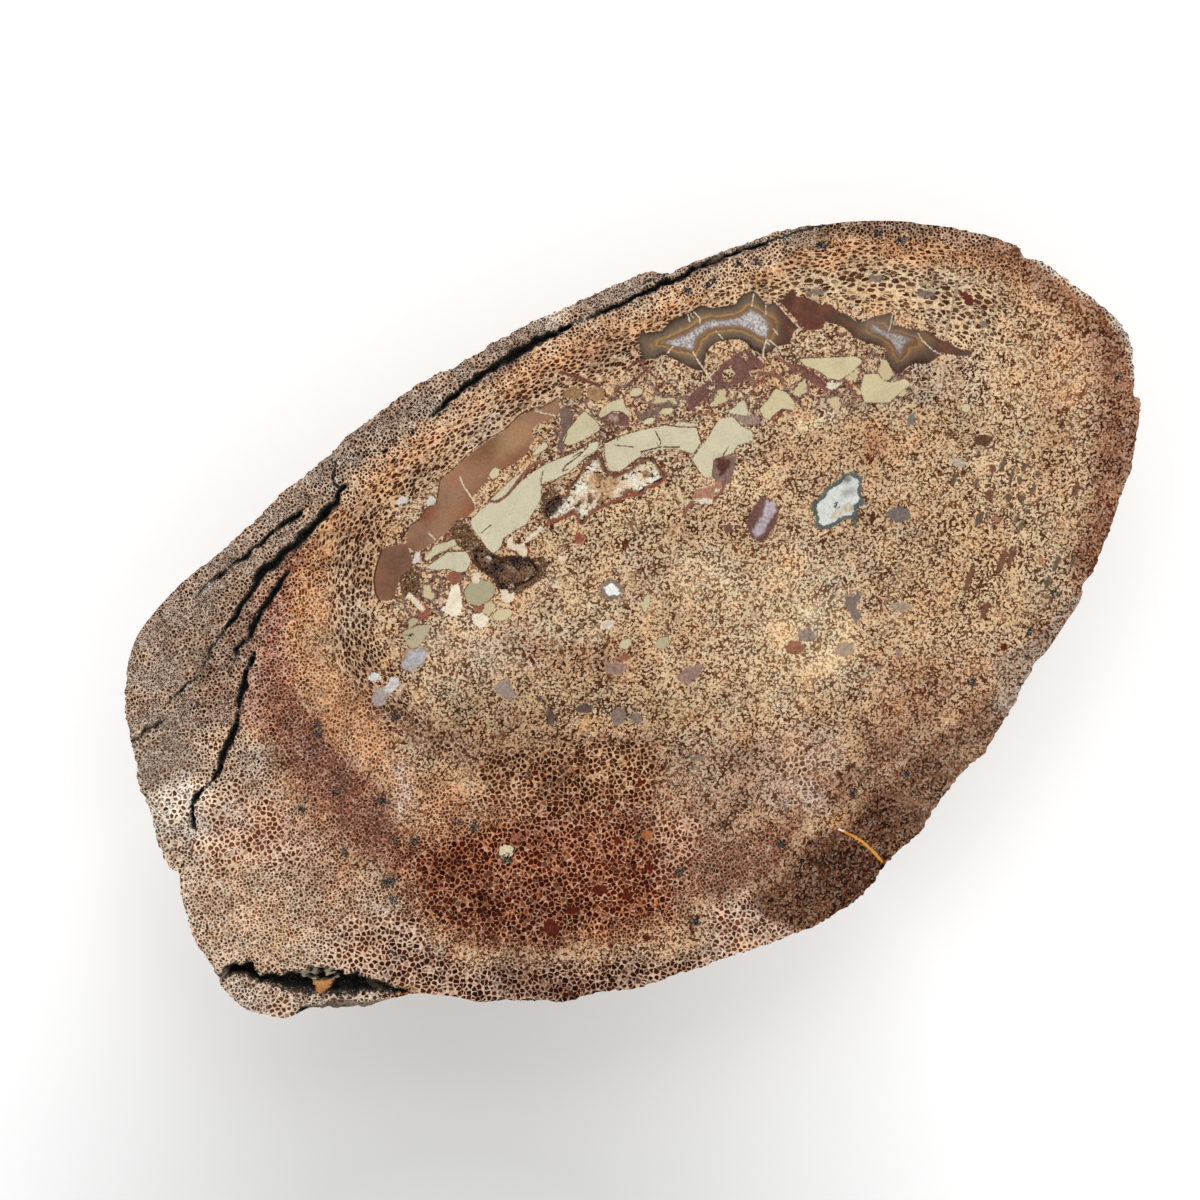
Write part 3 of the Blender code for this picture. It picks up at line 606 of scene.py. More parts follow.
brecciated = (   # where seams of brown matrix wind between shattered bone and mudstone
    "560,402 600,385 650,375 700,380 760,372 800,352 870,345 915,372 920,400 880,412 800,412 760,432 "
    "700,425 "
    "640,425 590,455 560,462 545,440",
    "395,545 450,520 475,540 470,590 500,605 480,625 440,625 400,640 385,600")

# The growth ring that elongated pores follow
growthRing = path("960,275 880,268 800,275 740,278 690,296 640,318 590,342 540,366 490,396 440,432 400,465 "
                  "362,505 338,555 332,610 345,665 375,712 430,755 520,790 620,800 720,785 820,745 900,700 "
                  "970,640 1020,570 1055,490 1070,410 1055,345 1015,300")

# Stones and fillings set in the bone, flush with the polish: tint, then their outlines
steep = 72   # degrees up to the right, the lean of the long pores near the right end
lenses = {   # chalcedony that fills single large pores
    "#665343": "1003,464.5,17,5 1012,476,18,4 1024,467,10,6 1020,480,10,6 1038,474,8,6 1033,490,15,5 "
               "1023,498,11,6 1009,497,8,6 979,519,17,7 1016,519,11,4 1021,526,17,5 1026,511,6,6 "
               "1056.5,563,17,6 1073,561,14,5 1048,582,13,7 954,479,13,5 976.5,483,11,6",
    "#6e4a3a": "993,469,10,6 989,495,12,8 1012,556,22,7 1002,561,27,7 969.5,578,32,6 985,610,20,8 "
               "1076,490,17,6 1094,481,7,6 1037,502,5,5",
    "#9a6a4c": "996,519,6,10 1041,561,8,7", "#583d2b": "982,441,10,18 950,434,5,14",
    "#746d66": "911.5,419,14,8", "#ac9a8b": "958,463,8,17",
}
fillings = {
    "#6c605a": ("885,514 892,507 902,506 910,511 911,519 902,523 891,521",),
    "#76665e": ("846,592 852,598 858,591 862,596 856,606 862,618 856,624 850,613 845,605",),
    "#8d7a70": ("490,689 508,676.5 514,692 514,702 501,696", "796,636 804,629 817,633 814,641 800,640"),
    "#a08a76": ("834,650 842,641 855,646 853,655 841,657", "887,606 901,601 916,607 902,613",
                "400,668 405,650 418,643 430,650 424,664 410,672"),
    "#886e5f": ("896,650 902,647 902,658 896,660", "875,668 883,664 884,668 876,671"),
    "#7c6a5e": ("610,714 618,706 627,712 625,722 614,727", "630,716 637,711 643,717 640,724 631,723"),
    "#5a4a42": ("575,709 585,703 595,707 590,713 578,713", "546,709 552,707 555,722 549,727",
                "536,697 542,695 543,702 537,703"),
    "#8c7064": ("603,668 612,662 622,664 629,668 620,675 608,674",
                "675,678 685,668 703,664 700,676 686,685"),
    "#8a5a44": ("616,660 624,653 632,655 628,661 618,661",
                "784,648 790,640 799,642 806,650 797,655 789,654"),
    "#c2b6a4": ("599,626 606,620 616,622 612,629 603,630",),
    "#7a6a5c": ("689,758 698,754 707,756 702,761 692,761", "688,768 694,766 700,767 697,770 690,770",
                "871,274 884,276 881,283 867,280", "805,292 815,289 828,291 822,295 809,295",
                "917,291 928,290 936,293 930,298 919,297", "978,322 985,321 988,326 982,329"),
    "#565a55": ("811,502 817,500 820.5,497 816,494 823,494.5 824.5,489 833,483.5 841,478 843,470 "
                "846,473.5 852,471.5 "
                "859.5,475 864,480 861,484 863.5,489 860,492 864,501 872,505 863,505.5 857.5,508 "
                "858,517.5 855,532 "
                "853,519 845,519.5 838,524 832,528.5 822,530 814,527 815.5,518 812.5,510",),
    "#7d6358": ("710,457 722,452 738,456 735,468 730,483 719,487 711,474",),
    "#4c1e16": ("715,459 722,457 731,460 729,467 724,476 719,477 718,468",),
    "#9c705a": ("690,497 700,489 712,487 719,480 722,487 716,496 705,500",),
    "#6e5a50": ("560,410 566,405 572,412 574,425 568,440 560,452 556,448 562,432",
                "630,408 640,413 652,412 660,404 668,400 676,404 672,410 660,412 652,418 640,420"),
    "#957250": ("562,396 566,388 576,387 584,390 582,397 570,399",
                "588,390 596,386 604,390 604,399 596,402 589,397"),
    "#8a4c3b": ("574,534 580,532 585,538 581,545 575,543",),
    "#92807e": ("738,356 746,354 752,360 749,370 742,372 737,364",
                "689,396 694,393 698,398 694,403 689,401"),
    "#85523f": ("523,546 529,545 531,552 527,558 523,554", "448,572 456,569 462,574 460,582 452,585 448,580",
                "472,603 480,600 486,604 481,611 473,610", "417,606 426,603 431,612 427,621 419,619",
                "512,834 518,834 519,841 513,842"),
    "#5e2c22": ("958,293 966,291 976,300 974,305 965,301", "604,643 608,646 605,651 600,648"),
    "#6e4c44": ("600,417 608,412 620,413 630,418 627,426 612,425 603,423",
                "686,400 694,391 703,384 709,388 703,399 692,411 687,409",
                "707,381 721,366 735,354 746,349 756,356 761,361 767,366 754,373 749,380 735,384 723.5,387 "
                "712,392 704,399 695,404 697,394 701,388",
                "788,366 801,367 812,375 822,380 828,385 833,389 826,391 812,383 800,375 790,372",
                "724,525 731,524 734,530 729,534 724,532"),
    "#8e796a": ("732,416 744,414 757,416 762,422 752,425 740,423",),
    "#a98f84": ("607,417 614,415 620,418 614,422",),
    "#674640": ("746,522 753,507 763,497 773,499 779,508 778,520 771,533 760,543 751,538",),
    "#a7989c": ("766,502 774,500 777,508 773,518 768,522 764,532 757,537 752,533 757,522 763,514",),
    "#aaa6a8": ("402,664 410,652 418,648 427,654 420,665 409,670",),
    "#a39690": ("371,700 375,690 383,686 389,694 384,705 375,706",),
    "#c6bfbb": ("367,680 371,673 380,673 382,680 374,682",
                "384,688 390,678 398,677 400,684 393,692 386,693"),
    "#7d6a5e": ("600,598 599,588 604,580 612,578 619,582 624,589 620,598 611,601",),
}
agates = {   # the banded agate at the top and the brown one left of the mudstone
    "tint": "#9a7258", "unbanded": ((764, 790), (846, 866, 950, 930), 0.65),
          # where the bands fade out and in
    "banded": "642,329 646,333 662,330.5 672,319 687,314 694,309 701,305 712,308 735,304.5 742,295 753,290 "
              "759,295 766,305 775,302 784,298 792,288 797,297 808,298 822,305 832,304 836,311 847,314 "
              "856,321 863,322 870,318 881,315 891,312 895,318 892,326 896.5,325 906,328 917.5,330.5 "
              "929,330.5 939,339 948,342 955,346 962,350 972,350 974,354 961,356 948,354 940,352 939,356 "
              "934,360 927,364 915,363 906,368 899,374 892,370 885,357 884,353 887,350 881,346 864,342 "
              "856,337.5 847,330.5 842,326 833,323.5 823.5,321 822,329 808,330.5 799,328 794,330.5 791,340 "
              "787,344.5 777,346 768,353 763,356 760,353 751.5,349 747,343 739,339 726,340 716.5,342 "
              "708,349 705,358.5 704,371 695,370 684,364 673,358.5 663,354 656,358.5 642,360 641,351.5 "
              "638,340",
    "core": "662,342 674,340 691,332 709,322 726,322 740,318 751.5,312 761,316.5 768,326 767,339 759,335 "
            "747,326 733,325 719,325 707,328 695,337.5 693,349 683,347 670,344.5",
    "star": "870,324 879,328 889,333 900,335 912,339 905,343 902,350 900,356 897,350 891,341 881,335 "
            "872,329",
    "plain": ("558.5,398 549,402 533,410.5 519,415 504,431.5 487,441 473,451 462,461 452,471 441,479 "
              "438,493 "
              "437,503 427,507 420,519 410,524 406,537 407,545 416,552 424,549 431,544 441,537 452,527 "
              "456.5,520 468,516 475,510 475,504.5 470.5,499 473,495 480,488 487,481 489,475 496,468 "
              "506,468 "
              "514,464 522,458 528,453 530,445 535,440 531,432 537,424 552,419 561,412 559,405",
              "382,549 393,545 404.5,544 410,552 413,561 409,570.5 400,576 396,587 395,596 388,601 379,600 "
              "375,590 375,575 378,563.5"),
    "washes": (  # soft edge, tint, path
        (14, "#9b765c", "370,380 570,380 570,560 370,560"), (10, "#8c6449", "oval 482,450 40,30 30"),
        (9, "#a98562", "oval 515,440 44,22 40"), (12, "#7f5a46", "370,540 420,540 415,606 370,606"),
        (12, "#86573f", "456,524 470,496 500,466 538,440 544,456 508,486 482,524"),
               (9, "#93583e", "oval 425,511 20,18"),
        (7, "#7c5c4a", "oval 396,560 18,20"), (8, "#5f4034", "770,280 990,280 990,380 770,380"),
        (7, "#6a3d30", "oval 812,324 20,9 -10"), (7, "#6f6255", "845,312 896,308 896,328 868,330 852,322"),
        (6, "#574538", "oval 842,318 22,12"), (5, "#7d7064",
                                               "866,322 884,322 902,334 900,342 884,336 870,334"),
        (4, "#8c5c36", "880,342 890,342 896,350 893,356 884,352"), (4, "#84593a", "oval 911,351 16,8 -20"),
        (4, "#6b5d50", "896,318 918,328 930,338 908,336 898,332"), (5, "#8d6a4a", "oval 928,337 16,6 -40"),
        (5, "#452a22", "oval 902,366 28,12"), (5, "#6d483c", "940,340 975,352 968,360 945,356"),
        (4, "#5b4c45", "oval 966,355 14,7")),
}
mudstones = {   # pale olive mudstone chips
    "#d0c6a8": ("603.5,443 623,435 644,429 665,425 681,425.6 697.5,428 699,436 702,442 693,454 676.5,449 "
                "658,450 647,453 637,459 630,464 624.5,470 616,473 609,470 605,459",
                "720,418 733,416.5 742,426 752,430.5 755,440 747,443 737,446 734,453 726,456 714,459 "
                "713,470 "
                "711.5,478 704.5,478 690.5,461 702,444.5 709,436 714,426",
                "719,412 733,408 744,398 749,412 747,416.5 733,414",
                "664,424 680,421 699,423 698,428 678,425",
                "640,422 650,417 657,418 652,424 643,425"),
    "#cfc3a2": ("489,500 500,490 511,479 520,473 523,477 513,489 503,498 494,501",
                "531,455 538,446 546,441 549,447 542,452 534,457"),
    "#cdc09d": ("584,410 596.5,421 602,429 591,436 578,443 568,446 561,442 568,429 575,421",
                "599,411 609,402 623,397 626,407 633,414 630,418 622,412 613,411 605,416.5 598,419",
                "627,396 632,388 641,387 644,393 637,397", "658,414 662,408 673,407 675,412 668,415",
                "617,648 622,639 631,638 632,646 626,650", "641,606 645,595 651,594 650,604 645,616",
                "434,545 448,541 455,538 456.5,545 446,550 438,554 426,562 423,560"),
    "#d0c19b": ("775,388 787,392 796,403 794,410.5 782,409 773,416 771,420 764,419 759,409 768,399",
                "797,358.5 829,357 856,356 864,361 859,366 850,374 839,381 828,378 818,371 805,366",
                "864,374 878,373 884,381 892,382 906,378 912,385 901,392 892,401 889,403 864,403 860,388",
                "488,476 491,470 494,467 500,468 499,477 492,480", "oval 966,408 10,10",
                "491,616 498,609 510,608 514,614 505,621 495,621"),
    "#d0c7ab": ("469,521 480,510 494,499 506,489 521,481 534,471 543.5,465 560,458 575,452 590,443 600,440 "
                "598,450 585,458 575,468 560,478 543.5,483.5 541,499 535,510 527,524 515,531 504,538 "
                "501,548 "
                "493,554 487,549 480,538 473,530",
                "431,563.5 447,552 466,551 472,561 466,572 459,573 448,569 438,570.5 423,569"),
    "#b8ab8a": ("402,631 419,625 430.5,624 430,631 423,642 416,649 409,648 402,636",
                "406,624 411,617 419,618 418,624 410,627", "654,648 658,638 668,636 671,643 664,650"),
    "#aaa282": ("463,592 470,582 482,579 494,583 496,592 489,601 478,607 467,603",),
}
whites = {      # white and cream chalcedony, and last the chip and crumbs that lie in the crevice
    "#d3d5cf": ("817.5,502 823,500 826.5,496 828,491 835,487 842,483 845,477.5 850,475.5 857,479 "
                "859.5,484 856.5,490 "
                "858.5,496 860,501 854,503.5 853.5,510 852,515 845,515.5 838,519.5 832,523.5 824,525.5 "
                "819,523 "
                "819.5,517 817,509",),
    "#e9e9e4": ("603.5,586 612,583 617.5,588 622,593 617.5,596 613,595 608,596 605,592",),
    "#e9dcc4": ("451,586 459,584.5 461,596 462,604 461,613 455,617 448,614 440,610 445,606 448,597",
                "470.5,615 482,613 490,618 487,624 482,628 475,625"),
    "#ddccb2": ("506,541 511,537 515,545 523,543 529,553 524,558 516,551 509,549",
                "500,590 506,588 509,594 515,592 514,600 507,603 502,600",
                "471,574 478,572 482,578 477,584 472,582", "409,592 426,608 422,612 406,597",
                "541,525 544,529 527,543 523,541", "553,559 560,556 568,558 562,562",
                "550,587 557,583 562,586 556,590"),
    "#cfc6bc": ("396,500 402,496 409,498 406,504 398,504.5", "426,502 431,496 437,498 434,505 427,506",
                "395,516 399,514 402,517 398,519", "412,563 414,554 420,552 419,562 415,565"),
    "#dacdba": ("695,502 702,498 713,499 712,503.5 700,504", "713,491 718,487 720,489 717,492.5",
                "825,387 832,381 840,384 836,389 829,389"),
    "#d6c9a4": ("499,848 505,844 513,847 512,856 504,858 499,854",),
    "#c4874f": (openings["chip"],), "#b3a78f": openings["crumbs"],
    "#716450": ("362,983 372,979 384,982 396,988 386,990 372,990",),
}
whitePocketShadeAndRings = (  # soft edge, tint, path: grey painted shade inside the white pocket, and its cream-brown rings
    (3, "#76736a", "oval 847,479 10,8"), (5, "#989289", "oval 849,492 14,7 20"),
               (2, "#b0a083", "oval 848.5,508 12,9"),
    (1.5, "#d6cfba", "oval 848.5,508 5,4"), (2, "#bfb191", "oval 837,514 12,7 25"),
               (1.2, "#dcd6c4", "oval 837,514 5,3"))
boneIslands = ("722,372 731,366 736,374 731,382 724,382", "706,388 714,381 718,385 711,391",
               "748,372 756,366 760,373 752,377",
               "741,357 745,352 748,358 744,362", "795,369 801,368 806,374 800,375",
               "604,421 609,419 612,423 606,424")
drusyPatches = ("450,526 456,519 466,521 474,533 482,545 494,553 486,562 474,562 468,550 458,546 450,538",
                "400,572 410,566 420,575 419,592 408,600 400,590",
                "541,494 552,488 560,493 556,508 547,519 541,512",
                "534,558 545,556 548,566 541,580 530,586 520,594 505,594 515,588 532,580")
# Thin lines: tint, then width and path of each
veins = {
    "#c9b8a0": ("1.2 688,314 690,322", "1.4 693,311 700,318 700,323.5", "1.2 667,354 673,346",
                "1.3 693,351.5 698,361 707,373 712,382", "1 716,330.5 724,340", "1 751.5,307 754,293",
                "1 766,305 766,316.5", "1.4 767,339 763,351.5 763.5,358.5", "1.3 768,339 780,349",
                "1 775,301 782,309 791,319 801,329", "1 773,328 778,335",
                "0.9 917.5,332 922,340 931.5,349 943,356",
                "1.4 459,475 463.5,486 470.5,496 475,503", "1.2 535,411 556,416", "1.2 428,533 436,540"),
    "#b3a49a": ("1.2 893,312 891,325 888,332", "0.8 931,349 943,356 962,361"),
    "#7d5547": ("3 488,501 497,502 505,497 512,489 519,479 527,470 535,463 544,462",
                "3 726,479 723,489 716,499 703,504 691,502 "
                "686,510 684,518", "2 640,362 648,372 645,385", "3 775,356 788,364 800,368",
                "3 757,372 770,374 784,380"),
    "#5d3a2a": ("1.4 562,473 565,466 572,461 580,455 588,446", "1.2 541,486 548,484 556,480 562,476 570,473",
                "1 543,470 541,480 541,488 542,506", "1.5 566,452 578,449 588,443 600,435",
                "1.3 697,428 700,437 702,445",
                "0.9 614,445 634,447", "1.2 688,456 694,463 700,474", "1 729,446 724,454 722,460",
                "0.9 480,534 492,524",
                "1 568,431 563,444", "1.2 660,424 680,427 697,427", "1 480,540 486,548"),
    "#d0906c": ("1 779,301 786,309 795,319 804,328",),
         "#8f4630": ("1.2 547,524 556,519 566,516", "1.2 628,495 634,491 640,494 645,488 655,485 664,478"),
    "#6b4036": ("1.5 824.5,581 820,591 812,599 813,606", "1.6 194,839 191,858",
                "2.5 822,382 833,391 842,385", "3.5 560,372 580,378 600,386",
                "3 786,365 801,366 812,374 822,380",
                "2.5 625,372 634,362 646,360", "2.5 628,384 640,376 650,366", "3 788,455 792,461"),
    "#c98a3a": ("2.6 843,831 854,836.5 863,842 873,851 879,858 882,862",), "#e2d8c8": ("2 838,829 847,833",),
    "#7f4a3b": ("3 545,525 556,520 566,517 574,513 583,523 592,512 605,505 620,498 628,496 640,494 "
                "645,488 655,486 665,478",),
    "#4e3226": ("1.4 570,487 580,475 583,465 590,457 600,451 607,472 620,472 640,458 652,458 664,474",
                "1.6 494,502 508,495 522,479 536,467 548,461", "2.4 600,429 616,437 604,443",
                "2 603,470 597,474 604,476", "1.5 640,452 660,447 680,447", "1.2 655,430 662,444",
                "1.2 556,400 540,408 520,414 504,430 486,440 470,452 452,470 440,479 438,493 436,503 "
                "426,508 "
                "419,520 409,526", "2 382,549 377,564 374,578 375,592 379,601"),
    "#b48c78": ("1.2 836,300 845,309 860,312", "1 905,395 925,388"),
}
specks = ("739,263,8 757,262,8 687,291,8 707,286,7 714,281,7 819,245,8 824,245,8 878,233,9 901,240,8 "
          "1117,378,8 1054,592,8 1030,631,8 973,682,9 906,775,8 781,844,9 853,793,8 679,872,8 696,922,8 "
          "507,859,9 475,827,9 459,822,6 414,840,8 383,801,9 317,726,8 318,735,7 335,792,8 302,810,8 "
          "344,852,8 385,883,9 392,881,9 394,900,8 395,717,8 396,840,7 204,702,5 203,725,5 197,705,5 "
          "409.5,636,5 836,505,4")
redPores = ("600,890,18,10 551,928,15,18 650,868,11,8 617,840,8,8 627,896,10,8 572,911,15,8 609.5,809,7,7 "
            "646.6,938.5,8,8 640,783,7,7 1004,647,8,8")
orangePores = "647,835,11,10 525,549,6,6"
roundPores = {"#541c10": redPores, "#9c6038": orangePores}
hollowTints = (("quartzHollow", "#6e4434", "#c2a988"), ("darkHollow", "#4a2f22", "#6b4c37"))
hollowRim = 2.4   # pixels of stained stone around a hollow
measured = 14   # pixels from an outline to which its distance is stored


def nearest(places, groups):  # how far inside the nearest outline, and that one's tint
    depth = np.full(len(places), -1e3)
    tint = np.tile(linear("#808080"), (len(places), 1))
    for colour, outlines in groups:
        for outline in outlines:
            inside = insideBy(places, outline, measured)
            tint[(inside > depth) | (inside > 0)] = linear(colour)
            depth = np.maximum(depth, inside)
    return np.maximum(depth, -measured), tint


def outlinesOf(groups):  # a dictionary of tints and texts as tints and outlines
    return [(tint, [path(text) for text in texts]) for tint, texts in groups.items()]


def ovals(rows, turn=0):  # "x,y,length,width ..." as turned ellipses
    return [path(f"oval {x},{y} {long},{wide} {turn}") for x, y, long, wide in path(rows)]


def washed(places, tint, rows):  # soft patches of other tints laid over a tint, in order
    for soft, patch, text in rows:
        weight = smoothStep(-soft, soft, insideBy(places, path(text), 40))[:, None]
        tint = tint + (linear(patch) - tint) * weight
    return tint


def widened(text, width=0):  # a path with its width as a third number
    line = path(text)
    return np.column_stack([line, np.full(len(line), width)])


def paintBone(places):  # washes in order: wall and pore tints, pore numbers
    moved = shaken(places, (3, 4), (22, 5))
    wall, pore = np.zeros((len(places), 3)), np.zeros((len(places), 3))
    numbers = np.zeros((len(places), 4))  # pore share, size, follow, crumbled
    for halfWidth, soft, wallTint, poreTint, *row, strength, text in washes:
        if halfWidth:
            side, _, past = alongLine(moved, widened(text), 80)
            inside = halfWidth - np.hypot(side, past)
        else:
            inside = insideBy(moved, path(text), 80)
        weight = (smoothStep(-soft, soft, inside) * strength)[:, None]
        wall += (linear(wallTint) - wall) * weight
        pore += (linear(poreTint) - pore) * weight
        numbers += (np.array(row) - numbers) * weight
    return wall, pore, numbers


def ringPlace(places, steps=260):  # distance along the growth ring and away from it, in pixels
    ring = closedCurve(growthRing, steps)
    ring = np.vstack([ring, ring[:1]])
    far = np.hypot(places[:, None, 0] - ring[None, :-1, 0], places[:, None, 1] - ring[None, :-1, 1])
    first = far.argmin(1)
    best = np.full(len(places), 1e9)
    along, away = np.zeros(len(places)), np.zeros(len(places))
    step = np.hypot(*(ring[1] - ring[0]))
    for shift in (-1, 0):
        index = (first + shift) % steps
        a, b = ring[index], ring[index + 1]
        e = b - a
        share = np.clip(((places - a) * e).sum(1) / (e ** 2).sum(1), 0, 1)
        gap = np.hypot(*(places - a - e * share[:, None]).T)
        side = np.where((places[:, 0] - a[:, 0]) * e[:, 1] > (places[:, 1] - a[:, 1]) * e[:, 0], 1.0, -1.0)
        closer = gap < best
        best = np.where(closer, gap, best)
        along = np.where(closer, (index + share) * step, along)
        away = np.where(closer, gap * side, away)
    return along, away


def paintFillings(at):  # how far inside a filled pore or a hollow's rim, and its tint
    groups = [(tint, ovals(rows, steep)) for tint, rows in lenses.items()] + outlinesOf(fillings)
    groups += [(tint, ovals(rows)) for tint, rows in roundPores.items()]
    lens, tint = nearest(at, groups)
    for name, rimTint, floorTint in hollowTints:
        hollow = insideBy(at, path(openings[name]), measured)
        covered = hollow + hollowRim > lens
        lens = np.where(covered, np.maximum(hollow + hollowRim, -measured), lens)
        tint[covered & (hollow > -6)] = linear(rimTint)
        tint[covered & (hollow > 1.4)] = linear(floorTint)
    return np.minimum(lens, -insideAny(at, boneIslands, measured)), tint


def paintAgates(at):  # how far inside an agate, its place between rim and core, share of bands, tint
    banded = insideBy(at, path(agates["banded"]), measured)
    plain = insideAny(at, agates["plain"], measured)
    core = insideAny(at, (agates["core"], agates["star"]), 40)
    fromRim = np.maximum(banded, 0)
    band = np.where(core > 0, 1 + np.minimum(core, 8) / 8, fromRim / np.maximum(fromRim - core, 0.5))
    left, right, fade = agates["unbanded"]
    again = smoothStep(*right[:2], at[:, 0]) * smoothStep(*right[2:], at[:, 0])
    share = (1 - smoothStep(*left, at[:, 0]) + fade * again) * smoothStep(-4, 4, banded - plain)
    tint = washed(at, np.tile(linear(agates["tint"]), (len(at), 1)), agates["washes"])
    return np.maximum(np.maximum(banded, plain), -measured), band, share, tint


def paintStone():  # measures every corner against what lies in the face, and stores it in the mesh
    at = pictured(corners[:, :2])
    scale = pixel * 1000  # millimetres a pixel
    wall, pore, numbers = paintBone(at)
    along, away = ringPlace(at)
    lens, lensTint = paintFillings(at)
    agate, band, banded, agateTint = paintAgates(at)
    mud, mudTint = nearest(at, outlinesOf(mudstones))
    white, whiteTint = nearest(at, outlinesOf(whites))
    speck = np.max([size / 2 - np.hypot(at[:, 0] - x, at[:, 1] - y) for x, y, size in path(specks)], 0)
    _, crackOffset, crackHalf = crackField(at)
    rows = [(tint, *row.split(" ", 1)) for tint, texts in veins.items() for row in texts]
    lines = [widened(text, float(width)) for _, width, text in rows]
    _, veinOffset, veinHalf, which = nearestLine(at, lines, 30)
    veinTint = np.array([linear(tint) for tint, *_ in rows] + [linear("#808080")])[which]
    hole, druse = creviceIn(at, measured), insideAny(at, drusyPatches, measured)
    broken = smoothStep(-8, 8, insideAny(at, brecciated, 20))
    # painted shade: how near a rim corner is to the lip at lower left and to the top; the rim is darkened
    # there as if the notch under it shaded it
    lip = smoothStep(0.019, 0.006, np.hypot(*(corners[:, :2] - spot(slab["lip"])).T))
    lip *= smoothStep(top - 0.024, top - 0.008, corners[:, 2])
    wallHalf = 0.38 * (1 - np.sqrt(numbers[:, 0]))
    stored = {
        "pores": (wallHalf, numbers[:, 1], numbers[:, 2]),
        "ringPlace": (along * scale, away * scale, numbers[:, 3]),
        "stones": (lens * scale, agate * scale, mud * scale),
        "spots": (white * scale, np.maximum(speck, -measured) * scale, np.maximum(hole, -measured) * scale),
        "bands": (band, banded, broken),
        "crackLine": (crackOffset * scale, crackHalf * scale, np.maximum(druse, -measured) * scale),
        # the third number here is the lip's painted shade on the rim
        "veinLine": (veinOffset * scale, veinHalf * scale, lip),
    }
    for name, columns in stored.items():
        addAttribute(stone, name, np.column_stack(columns))
    tints = {"wallTint": wall, "poreTint": pore, "lensTint": lensTint, "agateTint": agateTint,
             "mudTint": mudTint, "whiteTint": washed(at, whiteTint, whitePocketShadeAndRings), "veinTint": veinTint}
    for name, tint in tints.items():
        addAttribute(stone, name, opaque(tint))


def addAttribute(mesh, name, values):  # three numbers, or four of a colour, for each corner
    kind, field = {3: ("FLOAT_VECTOR", "vector"), 4: ("FLOAT_COLOR", "color")}[values.shape[1]]
    made = mesh.attributes.new(name, kind, "POINT")
    made.data.foreach_set(field, values.astype(np.float32).ravel())


def opaque(tint):
    return np.column_stack([tint, np.ones(len(tint))])


paintStone()
print("stone painted")


# Materials
def colour(tint):
    return (*linear(tint), 1)


def add(tree, kind, inputs):  # one node; a value is a setting, or the socket or node that feeds an input
    made = tree.nodes.new("ShaderNode" + kind)
    for name, value in inputs.items():
        if isinstance(value, bpy.types.Node):
            value = value.outputs[0]
        if isinstance(value, bpy.types.NodeSocket):
            tree.links.new(value, made.inputs[name])
        elif isinstance(name, int) or name in made.inputs:
            made.inputs[name].default_value = value
        else:
            setattr(made, name, value)
    return made


def newMaterial(name, finish, *values):  # a function makes the finish in the material's tree
    material = bpy.data.materials.new(name)
    material.use_nodes = True
    tree = material.node_tree
    tree.nodes.clear()
    shader = add(tree, "BsdfPrincipled", finish(tree, *values))
    add(tree, "OutputMaterial", {"Surface": shader})
    return material


def tintOf(tree, tint):  # a hex colour, the name of a tint that the mesh stores, or a socket as it is
    if not isinstance(tint, str):
        return tint
    if tint.startswith("#"):
        return colour(tint)
    return add(tree, "Attribute", {"attribute_name": tint}).outputs["Color"]


def tinted(tree, under, over, share):  # one colour laid over another by a share
    return add(tree, "Mix", {"data_type": "RGBA", 0: share, 6: tintOf(tree, under),
                             7: tintOf(tree, over)}).outputs[2]


def flecked(tree, under, over, noise, low, high, most=1.0):  # one colour over another where a noise is high
    share = add(tree, "MapRange", {0: noise, 1: low, 2: high, 3: 0.0, 4: most})
    return tinted(tree, under, over, share)


def scaled(tree, tint, factor):  # a colour made darker or lighter
    tint = tintOf(tree, tint)
    tint = tint[:3] if isinstance(tint, tuple) else tint
    return add(tree, "VectorMath", {"operation": "SCALE", 0: tint, 3: factor}).outputs[0]


def shaded(tree, tint, noise, low, high):  # a colour made darker and lighter by a noise of 0 to 1
    return scaled(tree, tint, add(tree, "MapRange", {0: noise, 3: low, 4: high}))


def edged(tree, distance, ragged, bite, soft=0.11):  # share inside an outline whose edge a noise roughens
    moved = add(tree, "Math", {"operation": "MULTIPLY_ADD", 0: ragged, 1: bite * 2, 2: distance})
    return add(tree, "MapRange", {"interpolation_type": "SMOOTHSTEP", 0: moved,
                                  1: bite - soft, 2: bite + soft})


def numbersOf(tree, source):  # the three numbers of a vector, given as a socket or by its name in the mesh
    if isinstance(source, str):
        source = add(tree, "Attribute", {"attribute_name": source}).outputs["Vector"]
    return add(tree, "SeparateXYZ", {0: source}).outputs


def within(tree, name):  # how far inside a thin line, from its stored offset and half-width
    offset, half, _ = numbersOf(tree, name)
    away = add(tree, "Math", {"operation": "ABSOLUTE", 0: offset})
    return add(tree, "Math", {"operation": "SUBTRACT", 0: half, 1: away})


def noisesOf(tree, place, rows):  # noises by name; a row is their number a metre, detail, roughness, twist
    made = {}
    for name, row in rows.items():
        settings = dict(zip(("Scale", "Detail", "Roughness", "Distortion"), row))
        made[name] = add(tree, "TexNoise", {**settings, "Vector": place}).outputs
    return made


def pushed(tree, place, noise, far):  # a place moved by a noise's colour, up to this far each way
    return add(tree, "VectorMath", {"operation": "MULTIPLY_ADD", 0: noise[1], 1: (far,) * 3, 2: place})


